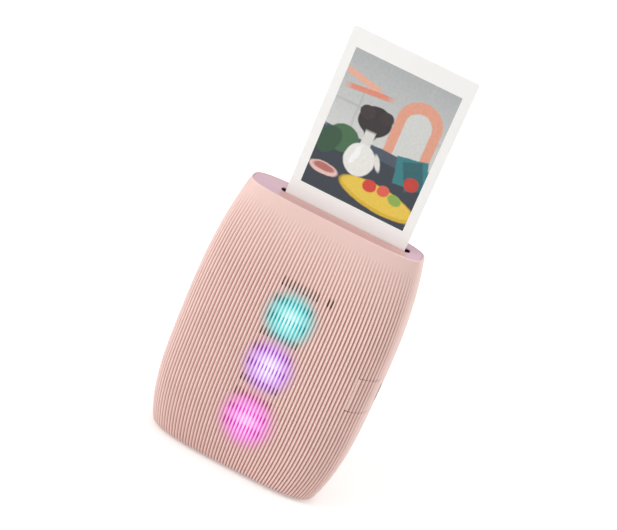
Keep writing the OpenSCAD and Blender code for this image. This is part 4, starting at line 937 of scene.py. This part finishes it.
for name, z in BUTTONS.items():
    rim = [(FACE + d, rounded_in(d, BUTTON_ROUND)) for d in from_end(BUTTON_ROUND, 6)]
    button = pill(f"{name}_button_cap", BUTTON_Y, z, BUTTON_W, BUTTON_LEN,
                  rim + [(FACE + BUTTON_T, 0.0)])
    flange = pill("flange", BUTTON_Y, z, BUTTON_W + 2 * FLANGE_WIDE, BUTTON_LEN + 2 * FLANGE_WIDE,
                  [(FACE + BUTTON_T - JOIN, 0.0), (FACE + BUTTON_T + FLANGE, 0.0)])
    combine(button, [flange, rod((BUTTON_Y, z), STEM, FACE + BUTTON_T, STEM_END, "x")], "UNION")
    finish(button, cap_satin, "cap_plastic", f"{name}_button_body", f"{name}_button")
print("buttons:", ", ".join(BUTTONS))

# %% [markdown]
# ## The latch
# The latch is a small slide in the door with four grip bars for a finger and a tongue that reaches
# up behind the shell's edge. Its blocks have rounded edges where a finger touches them and are
# joined by a Boolean into one closed solid, as the real one is one moulding.

# %% Latch
LATCH_X, LATCH_W, LATCH_H, LATCH_TOP = 3.5, 11.0, 6.0, 102.3
LATCH_BACK, LATCH_FACE, LATCH_ROUND = 3, 1, 0.4  # the first two from the door's face inwards
BARS, BAR_LOW, BAR_HIGH, BAR_STEP = 4, 0.7, 1.4, 1.3
BAR_SHORT, BAR_BACK, BAR_FACE, BAR_ROUND = 1, 1.2, 0.4, 0.2
TONGUE_HALF, TONGUE_FACE, TONGUE_JOIN = 3, 1.8, 0.5
SHARPEST = 0.02  # the smallest radius of an outline's corners


def soft_block(low, high, radius):
    """A block whose edges along Y and at its outer face are rounded."""
    x, z = (low[0] + high[0]) / 2, (low[2] + high[2]) / 2
    width, height = high[0] - low[0], high[2] - low[2]
    rings = []
    for y, inset in [(low[1], 0.0)] + [(high[1] - d, rounded_in(d, radius))
                                       for d in to_end(radius, 5)]:
        outline = round_rect(x, z, width - 2 * inset, height - 2 * inset,
                             max(radius - inset, SHARPEST), steps=4)
        rings.append(np.insert(outline, 1, y, axis=1))
    return face_outwards(loft("soft block", np.stack(rings)))


latch_low = LATCH_Z - LATCH_H / 2
latch = soft_block((LATCH_X - LATCH_W / 2, LATCH_Y - LATCH_BACK, latch_low),
                   (LATCH_X + LATCH_W / 2, LATCH_Y - LATCH_FACE, latch_low + LATCH_H), LATCH_ROUND)
latch.name = latch.data.name = "film_door_latch"
bars = [soft_block((LATCH_X - LATCH_W / 2 + BAR_SHORT, LATCH_Y - BAR_BACK,
                    latch_low + BAR_LOW + i * BAR_STEP),
                   (LATCH_X + LATCH_W / 2 - BAR_SHORT, LATCH_Y - BAR_FACE,
                    latch_low + BAR_HIGH + i * BAR_STEP), BAR_ROUND) for i in range(BARS)]
tongue = block((LATCH_X - TONGUE_HALF, LATCH_Y - LATCH_BACK, latch_low + LATCH_H - TONGUE_JOIN),
               (LATCH_X + TONGUE_HALF, LATCH_Y - TONGUE_FACE, LATCH_TOP))
combine(latch, bars + [tongue], "UNION")
finish(latch, cap_satin, "cap_plastic", "latch_body", "door_latch")
print("latch:", len(latch.data.polygons), "faces")

# %% [markdown]
# ## The picture on the print
# An instant print is a sandwich of plastic sheets with a matt white border and a glossy window. The
# picture here is a made-up still life in flat shapes: a jug with dark leaves, fruit and a bowl on a
# slate table before a pale wall. It could be modelled in relief, but a print is flat, so each shape
# is a mask in the material: a Mapping node brings the shape's own centre, turn and half sizes to a
# unit disc or box, and the masks are laid over each other in order.

# %% Shapes of the picture
# shape, mm right of and above the picture's middle, half width, half height, turn, colour
SHAPES = [
    ("box", 0, 9, 24, 0.5, 0, "#B9BCBB"), ("box", -13, 16, 0.35, 16, 0, "#BBBEBD"),
    ("box", 12, 16, 0.35, 16, 0, "#BFC1BF"),
    ("disc", 12, 13, 9.5, 9.5, 0, "#E9A48B"), ("box", 12, 4.5, 9.5, 8.5, 0, "#E9A48B"),
    ("disc", 12, 12, 5.5, 5.5, 0, "#D9DAD7"), ("box", 12, 4, 5.5, 8.5, 0, "#D9DAD7"),
    ("box", -15, 20, 8, 1.4, 12, "#EDB39C"), ("box", -11, 16.5, 9, 1.1, -6, "#E58F78"),
    ("box", 0, -18, 24, 14, 0, "#2F3843"), ("box", 0, -5.5, 24, 2.4, 0, "#465362"),
    ("disc", -14, -6.0, 6.5, 6.0, 0, "#3F6B45"), ("disc", -19, -9, 4.5, 6.5, 20, "#2C5138"),
    ("box", 16.5, -7, 6.5, 6.0, -12, "#2B7F86"), ("box", 18, -8, 4.0, 6.2, -24, "#1F6168"),
    ("disc", 8, -23.5, 17, 5.6, 5, "#E2B92C"), ("disc", 8, -22.9, 15.6, 4.6, 5, "#F0CC4B"),
    ("disc", -2, 2, 1.4, 8, 28, "#4E7F63"), ("disc", -7.5, 2.5, 1.3, 7, -32, "#5C8F70"),
    ("disc", -4.6, 6.2, 7.0, 6.4, 0, "#2A2023"), ("disc", -8.8, 8.6, 3.2, 3.0, 0, "#3A2B2C"),
    ("disc", -0.8, 9.4, 3.0, 2.6, 0, "#33272A"),
    ("box", -4.6, -4.0, 2.2, 5.5, 0, "#E4E2DD"), ("disc", -4.6, -11.5, 6.4, 7.2, 0, "#F1EFEA"),
    ("disc", -6.8, -10.2, 1.3, 4.4, 12, "#FFFFFF"), ("disc", 2.6, -9.5, 1.2, 3.6, -28, "#E9E7E1"),
    ("disc", 3.4, -19.8, 2.9, 2.8, 0, "#D8402F"), ("disc", 9.4, -19.2, 2.6, 2.5, 0, "#E4604A"),
    ("disc", 15.0, -20.8, 2.9, 2.3, 15, "#8FB24B"), ("disc", 18.6, -11.5, 3.1, 3.0, 0, "#C9372C"),
    ("disc", -16.5, -21.5, 6.2, 2.6, 0, "#F2C9C0"), ("disc", -16.5, -21.0, 4.6, 1.6, 0, "#B96E66"),
]
print("picture:", len(SHAPES), "shapes")

# %% Picture material
# The window's polyester gives a clear gloss. Under it the dye has spread a little, so edges waver
# by under a millimetre, and it lies unevenly, in clouds of about 1.2 mm.
PICTURE_W, PICTURE_H, PICTURE_Z, PRINT_Z, PRINT_H, FILM_W = 46.0, 62.0, 164.0, 117.0, 86.0, 54.0
EDGE = 0.25  # mm over which a shape's edge turns into what is behind it
WAVER, WAVER_WIDE, DYE_CLOUD = 0.9, 5.0, 1.2
WALL_FOOT = -10  # the height over the picture's middle from which its wall gets darker

picture, tree, shader, place = start_material(
    "instant film picture, glossy window", "#D9DAD7", 0.22, ior=1.5)
waver = add(tree, "ShaderNodeTexNoise", None,
            {"Vector": place, "Scale": 1 / (WAVER_WIDE * MM), "Detail": 3.0})
push = add(tree, "ShaderNodeVectorMath", {"operation": "MULTIPLY_ADD"},
           {0: waver.outputs["Color"], 1: (WAVER * MM,) * 3, 2: place})
middle = ((FILM_X + WAVER / 2) * MM, 0.0, (PICTURE_Z + WAVER / 2) * MM)
centred = add(tree, "ShaderNodeVectorMath", {"operation": "SUBTRACT"}, {0: push, 1: middle})
wall_light = add(tree, "ShaderNodeSeparateXYZ", None, {0: centred})
fall = add(tree, "ShaderNodeMapRange", None, {
    "Value": wall_light.outputs["Z"], "From Min": WALL_FOOT * MM,
    "From Max": PICTURE_H / 2 * MM})
paint = add(tree, "ShaderNodeMix", MIX_COLOURS,
            {MIX_SHARE: fall, MIX_A: colour("#DDDEDB"), MIX_B: colour("#B4B8B9")})
for shape, right, up, half_w, half_h, turned, code in SHAPES:
    local = add(tree, "ShaderNodeMapping", {"vector_type": "TEXTURE"}, {
        "Vector": centred, "Location": (right * MM, 0, up * MM),
        "Rotation": (0, math.radians(turned), 0), "Scale": (half_w * MM, 1, half_h * MM)})
    if shape == "disc":
        length = add(tree, "ShaderNodeVectorMath", {"operation": "LENGTH"}, {0: local})
        far = length.outputs["Value"]
    else:
        folded = add(tree, "ShaderNodeVectorMath", {"operation": "ABSOLUTE"}, {0: local})
        axes = add(tree, "ShaderNodeSeparateXYZ", None, {0: folded})
        far = add(tree, "ShaderNodeMath", {"operation": "MAXIMUM"},
                  {0: axes.outputs["X"], 1: axes.outputs["Z"]})
    soft = EDGE / min(half_w, half_h)
    mask = add(tree, "ShaderNodeMapRange", None,
               {"Value": far, "From Min": 1 + soft, "From Max": 1 - soft})
    paint = add(tree, "ShaderNodeMix", MIX_COLOURS,
                {MIX_SHARE: mask, MIX_A: paint.outputs[MIX_OUT], MIX_B: colour(code)})
dye_cloud = add(tree, "ShaderNodeTexNoise", None,
                {"Vector": place, "Scale": 1 / (DYE_CLOUD * MM), "Detail": 4.0})
dye_tone = add(tree, "ShaderNodeMapRange", None,
               {"Value": dye_cloud, "To Min": 0.86, "To Max": 1.1})
developed = add(tree, "ShaderNodeMix", MULTIPLY_COLOURS,
                {MIX_SHARE: 1.0, MIX_A: paint.outputs[MIX_OUT], MIX_B: dye_tone})
tree.links.new(developed.outputs[MIX_OUT], shader.inputs["Base Color"])
print("picture material:", len(tree.nodes), "nodes")

# %% [markdown]
# ## The print
# The sheet is an extruded outline with small round corners, and the picture lies 0.06 mm deep in
# it, which gives the border its fine edge. The bottom of that recess gets the picture's material,
# so that border and picture stay one closed piece. The coated polyester of the border is matt and
# nearly white, with hardly any cloud.

# %% The print
FILM_Y, FILM_T, PICTURE_DEEP = -0.9, 0.7, 0.06
FILM_CORNER, PICTURE_CORNER = 1.2, 0.3
SAME_PLACE = 0.005  # faces nearer than this to the recess's bottom, and facing out, belong to it

border, *_ = moulded("instant film border, matt coated polyester", "#FDFCFA", 0.55, grain=0.5,
                     height=0.002, cloud=30.0, tone=0.01)
film_front, picture_floor = FILM_Y - FILM_T / 2, FILM_Y - FILM_T / 2 + PICTURE_DEEP
film_outline = round_rect(FILM_X, PRINT_Z + PRINT_H / 2, FILM_W, PRINT_H, FILM_CORNER)
picture_outline = round_rect(FILM_X, PICTURE_Z, PICTURE_W, PICTURE_H, PICTURE_CORNER, steps=3)
print_piece = extrude("instant_print", film_outline, film_front, FILM_Y + FILM_T / 2, "y")
recess = extrude("picture recess", picture_outline, FILM_Y - FILM_T, picture_floor, "y")
combine(print_piece, [recess])
finish(print_piece, border, "film_sheet", "print_body", "film_print")
print_piece.data.materials.append(picture)
for face in print_piece.data.polygons:
    if abs(face.center.y - picture_floor * MM) < SAME_PLACE * MM and face.normal.y < -FLAT_NORMAL:
        face.material_index = 1
print("print:", len(print_piece.data.polygons), "faces")

# %% [markdown]
# ## The finishes of what is inside
# These solids already have their true shapes, so they stay and get the finish of the real thing:
# matt black moulded plastic, milky acetal gears, turned and rolled steel, brass, rubber rollers,
# green boards with their copper tracks showing through, and white boards for the lamps. They are
# seen only past an open door or cover, so one function serves each family of finishes.

# %% Plastics inside
# Black ABS is matt with an open grain. Acetal is waxy, so its highlight is tighter and its milky
# tone changes over a few millimetres. The lamps' holder is a clean white. Ground rubber is dull.
black_plastic, *_ = moulded("ABS, moulded, black", "#232225", 0.55, grain=0.5, height=0.012,
                            cloud=16.0, tone=0.12)
acetal, *_ = moulded("acetal, moulded, milky", "#E6E2D6", 0.36, grain=0.4, height=0.003,
                     cloud=3.0, tone=0.05)
white_plastic, *_ = moulded("polycarbonate, moulded, white", "#EDEBE6", 0.45, cloud=9.0, tone=0.03)
rubber, *_ = moulded("rubber, ground, dark grey", "#2E2E31", 0.8, grain=0.25, height=0.02,
                     cloud=5.0, tone=0.1)
print("plastics inside:", black_plastic.name, "and", acetal.name)

# %% Metals inside
# Lines along X from the rolling or drawing of sheet and rod break up the highlights. The real ones
# are finer than the 0.15 mm here, at which they begin to show. The battery's wrap is softer, with
# creases of 0.6 mm instead.
LINE_HIGH = 0.004


def rolled_metal(name, base, roughness, line=0.15, length=9.0):
    """Sheet or rod metal with lines of this width and length."""
    material, tree, shader, place = start_material(name, base, roughness, metallic=1.0)
    drawn = add(tree, "ShaderNodeMapping", None, {"Vector": place, "Scale": (line / length, 1, 1)})
    lines = add(tree, "ShaderNodeTexNoise", None,
                {"Vector": drawn, "Scale": 1 / (line * MM), "Detail": 4.0})
    gloss = add(tree, "ShaderNodeMapRange", None,
                {"Value": lines, "To Min": roughness - 0.08, "To Max": roughness + 0.12})
    bump = add(tree, "ShaderNodeBump", None, {"Height": lines, "Distance": LINE_HIGH * MM})
    tree.links.new(gloss.outputs[0], shader.inputs["Roughness"])
    tree.links.new(bump.outputs[0], shader.inputs["Normal"])
    return material


steel = rolled_metal("steel, zinc-plated", "#C2C5C9", 0.3)
brass = rolled_metal("brass, turned", "#D9B25E", 0.26)
foil = rolled_metal("battery wrap, aluminised film, slate", "#7C8896", 0.34, line=0.6, length=4.0)
print("metals inside:", steel.name, "and", brass.name)

# %% Boards, cable, sheets and lens
TRACK_HIGH = 0.03


def board(name, base, track, step):
    """A circuit board: copper tracks stand out and shine through the lacquer, as thin cells."""
    material, tree, shader, place = start_material(name, base, 0.32, ior=1.5)
    upright = add(tree, "ShaderNodeMapping", None,
                  {"Vector": place, "Rotation": (math.pi / 2, 0, 0)})
    grid = add(tree, "ShaderNodeTexBrick", {"offset": 0.37}, {
        "Vector": upright, "Scale": 1 / (step * MM), "Color1": colour(base),
        "Color2": colour(base), "Mortar": colour(track), "Mortar Size": 0.012,
        "Brick Width": 0.9, "Row Height": 0.3})
    bump = add(tree, "ShaderNodeBump", None,
               {"Height": grid.outputs["Fac"], "Distance": TRACK_HIGH * MM})
    tree.links.new(grid.outputs["Color"], shader.inputs["Base Color"])
    tree.links.new(bump.outputs[0], shader.inputs["Normal"])
    return material


green_board = board("epoxy board, green solder mask", "#1F6A45", "#3F9463", 4.0)
white_board = board("epoxy board, white solder mask", "#ECEBE6", "#DAD7CC", 5.0)
# Polyimide film is thin and amber, so its tone changes with what lies under it. The unexposed
# sheets are a dull, even off-white.
cable, *_ = moulded("polyimide cable, amber", "#C4802F", 0.3, grain=0.6, height=0.002,
                    cloud=2.0, tone=0.2)
sheets, *_ = moulded("instant film, unexposed sheets", "#DCD9D2", 0.5, cloud=12.0, tone=0.03)
# Polished glass is all gloss and see-through, with the faintest haze.
lens, tree, shader, place = start_material("lens glass, clear", "#F2F6FA", 0.04, ior=1.52)
shader.inputs["Transmission Weight"].default_value = 0.9
haze = add(tree, "ShaderNodeTexNoise", None, {"Vector": place, "Scale": 1 / (1.0 * MM)})
hazy = add(tree, "ShaderNodeMapRange", None, {"Value": haze, "To Min": 0.02, "To Max": 0.08})
tree.links.new(hazy.outputs[0], shader.inputs["Roughness"])
print("boards:", green_board.name, "and", white_board.name)

# %% [markdown]
# ## The lamps and the sheet that spreads their light
# Behind the slots lies a smoked acrylic sheet. Far from a lamp it has a faint, even painted glow of
# brown, so the slots there look a dark brown. Near a lamp its painted glow is a deep colour,
# brighter towards the lamp, along the same reach as the painted glow of the shell. Lit materials
# paint this light rather than real lamps giving it, because light through a milky sheet takes very
# many samples to come out smooth.

# %% Light sheet and lamps
# The painted glow that the sheet has far from every lamp.
PAINTED_FAR_GLOW = "#7A5A50"

glow_sheet, tree, shader, place = moulded("acrylic, smoked, light-spreading, painted glow", "#54423C", 0.5)
glow = colour(PAINTED_FAR_GLOW)
for height, size, _, _, (near, rim) in LAMPS.values():
    share, (band,) = lamp_glow(tree, place, height, size, (near, near, rim, rim))
    glow = add(tree, "ShaderNodeMix", MIX_COLOURS,
               {MIX_SHARE: share, MIX_A: glow, MIX_B: band}).outputs[MIX_OUT]
tree.links.new(glow, shader.inputs["Emission Color"])
shader.inputs["Emission Strength"].default_value = 1.0

# A lamp's milky lens shows one even colour, so its glow is a constant.
lamps = {}
for name, (*_, (near, _)) in LAMPS.items():
    lamps[name], _, shader, _ = moulded(f"lamp, {name}, lit, milky lens", "#E9E6E2", 0.3)
    shader.inputs["Emission Color"].default_value = colour(near)
    shader.inputs["Emission Strength"].default_value = 1.0
print("lit materials:", 1 + len(lamps), "besides the shell's")

# %% [markdown]
# ## The springs
# A return spring is steel wire, wound cold. It stands between a fixed seat and the piece it pushes
# back, and gets shorter as that piece comes nearer. Here each wire is one ring of points swept
# along a helix, and the latch's pair goes with the door.

# %% Springs
CLAW_AT, CLAW_FOOT, CLAW_SEAT, CLAW_FREE, CLAW_TRAVEL = (-20.0, -4.75), 30.35, 38.25, 7.9, 5.0
CLAW_R, CLAW_WIRE, CLAW_TURNS = 0.45, 0.12, 9
LATCH_COIL_Y, LATCH_COILS = 13.66, (0.1, 6.9)
LATCH_SEAT, LATCH_HEAD, LATCH_FREE, LATCH_TRAVEL = 88.4, 90.95, 2.55, 2.2
LATCH_R, LATCH_WIRE, LATCH_TURNS = 0.75, 0.16, 5
PER_TURN, ROUND_WIRE = 16, 8  # points along a turn of the helix, and round the wire


def coil(name, centre, start, end, radius, wire, turns):
    """A wire wound round an upright axis, from one height to another."""
    turn = np.linspace(0, 2 * math.pi * turns, PER_TURN * turns + 1)
    away = np.stack([np.cos(turn), np.sin(turn), 0 * turn], -1)
    rise = np.linspace(start + wire, end - wire, len(turn))
    axis = np.stack([centre[0] + 0 * turn, centre[1] + 0 * turn, rise], -1)
    middle = away * (radius - wire) + axis
    around = np.linspace(0, 2 * math.pi, ROUND_WIRE, endpoint=False)[:, None]
    ring = np.cos(around) * away[:, None] - np.sin(around) * (0, 0, 1)
    return loft(name, middle[:, None] + wire * ring)


def return_spring(piece, body, node):
    """Gives a spring its steel finish, hangs it from its body, hides the solid it replaces and
    gives it a mesh of its own.
    """
    finish(piece, steel, "steel_parts", body, node)
    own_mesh(piece)


claw_coil = coil("claw_return_spring", CLAW_AT, CLAW_FOOT, CLAW_SEAT, CLAW_R, CLAW_WIRE, CLAW_TURNS)
return_spring(claw_coil, "case", "claw_spring")
latch_coils, second_coil = [
    coil(name, (x, LATCH_COIL_Y), LATCH_SEAT, LATCH_HEAD, LATCH_R, LATCH_WIRE, LATCH_TURNS)
    for name, x in zip(("latch_return_springs", "second coil"), LATCH_COILS)]
combine(latch_coils, [second_coil], "UNION")
return_spring(latch_coils, "film_door_body", "latch_spring")
print("springs:", [(o.name, len(o.data.polygons)) for o in (claw_coil, latch_coils)])

# %% [markdown]
# ## Dressing the solids
# Each solid that stays is given its finish in its material slot. A table of finishes is the
# plainest way, because many solids share one. Nothing about their shapes or places is touched.

# %% Finishes of the solids
def dress(materials_of):
    """Gives solids their materials: {material: names of solids}."""
    for material, names in materials_of.items():
        for name in names.split():
            solids[name].data.materials.clear()
            solids[name].data.materials.append(material)


dress({
    black_plastic: "chassis film_cartridge cartridge_spring door_hinge_lugs door_hinge_ears "
                   "door_pads port_well power_switch function_switch print_head board_chips",
    rubber: "front_roller rear_roller",
    acetal: "roller_bushes front_roller_gear rear_roller_gear upper_gear lower_gear pick_claw",
    steel: "chassis_screws door_hinge_pins port_cover_pin usb_port roller_plate_left "
           "roller_plate_right gear_pins gear_cover motor shield_can board_spacers",
    brass: "motor_pinion", foil: "battery", green_board: "side_board main_board",
    white_board: "led_board", white_plastic: "led_holder", cable: "head_cable",
    sheets: "film_stack", lens: "lens_array", glow_sheet: "light_guide",
    lamps["teal"]: "led_top", lamps["violet"]: "led_middle", lamps["magenta"]: "led_bottom"})
print("dressed solids:", sum(1 for s in solids.values() if s.data.materials))

# %% [markdown]
# ## Floor, light and background
# A plain pale floor carries the printer. Big soft lamps give a plain level of light, at which a
# colour comes out about as it is written. The camera, mirrors and glass see a white world instead
# of the grey one that lights the object, and the floor adds just enough white of its own for them
# that only its shadow stays darker than white.

# %% Floor and world
FLOOR_HALF = 4000
FLOOR_WHITE, STUDIO_LIGHT = 0.32, 0.43
WHITE = colour("#FFFFFF")


def new_tree(data):
    data.use_nodes = True
    data.node_tree.nodes.clear()
    return data.node_tree


def seen_directly(tree):
    """1 where a ray comes from the camera, a mirror or glass, and 0 where it only lights things."""
    ray = add(tree, "ShaderNodeLightPath")
    direct = add(tree, "ShaderNodeMath", {"operation": "MAXIMUM"},
                 {0: ray.outputs["Is Camera Ray"], 1: ray.outputs["Is Glossy Ray"]})
    return add(tree, "ShaderNodeMath", {"operation": "MAXIMUM"},
               {0: direct, 1: ray.outputs["Is Transmission Ray"]})


floor = make_piece("floor", [(-FLOOR_HALF, -FLOOR_HALF, 0), (FLOOR_HALF, -FLOOR_HALF, 0),
                             (FLOOR_HALF, FLOOR_HALF, 0), (-FLOOR_HALF, FLOOR_HALF, 0)],
                   [[0, 1, 2, 3]])
# Seamless paper is matt: it shows the printer's shadow and no reflection of it.
paper = bpy.data.materials.new("seamless paper, white")
tree = new_tree(paper)
lift = add(tree, "ShaderNodeMath", {"operation": "MULTIPLY"},
           {0: seen_directly(tree), 1: FLOOR_WHITE})
sheet = add(tree, "ShaderNodeBsdfDiffuse", None, {"Color": colour("#F0EEEC")})
own = add(tree, "ShaderNodeEmission", None, {"Color": WHITE, "Strength": lift})
both = add(tree, "ShaderNodeAddShader", None, {0: sheet, 1: own})
add(tree, "ShaderNodeOutputMaterial", None, {0: both})
floor.data.materials.append(paper)

world = bpy.data.worlds.new("studio")
bpy.context.scene.world = world
tree = new_tree(world)
shown = seen_directly(tree)
lighting = add(tree, "ShaderNodeBackground", None, {"Color": WHITE, "Strength": STUDIO_LIGHT})
white = add(tree, "ShaderNodeBackground", None, {"Color": WHITE, "Strength": 1.0})
either = add(tree, "ShaderNodeMixShader", None, {0: shown, 1: lighting, 2: white})
add(tree, "ShaderNodeOutputWorld", None, {0: either})
print("floor:", 2 * FLOOR_HALF * MM, "m wide; light of the world:", STUDIO_LIGHT)

# %% [markdown]
# ## The studio lamps
# The key lamp from the left gives the barrel its bright side, the fill keeps the right side from
# going dark, and the rim lamp from the right draws the bright line along the edge. One lamp lights
# the top and one the back. All are large squares, because a large lamp near a small thing gives
# soft shadows.

# %% Lamps
AIMED_AT = Vector((0, 0, 0.08))


def area_lamp(name, azimuth, elevation, distance, size, power):
    """A soft square lamp aimed at the printer's middle; azimuth 0 is in front, 90 on the right."""
    a, e = math.radians(azimuth), math.radians(elevation)
    towards = Vector((math.sin(a) * math.cos(e), -math.cos(a) * math.cos(e), math.sin(e)))
    lamp = bpy.data.objects.new(name, bpy.data.lights.new(name, "AREA"))
    lamp.data.size, lamp.data.energy = size, power
    lamp.matrix_world = Matrix.Translation(AIMED_AT + towards * distance) @ \
        towards.to_track_quat("Z", "Y").to_matrix().to_4x4()
    bpy.context.scene.collection.objects.link(lamp)


area_lamp("key", -58, 30, 1.2, 0.5, 6.4)
area_lamp("fill", 40, 25, 1.4, 1.0, 0.3)
area_lamp("rim", 110, 16, 1.2, 0.5, 3.8)
area_lamp("top", 10, 80, 1.2, 0.9, 4.4)
area_lamp("behind", 170, 40, 1.4, 1.0, 2.4)
bpy.context.scene.view_settings.view_transform = "Standard"
print("lamps in the studio:", len(bpy.data.lights))
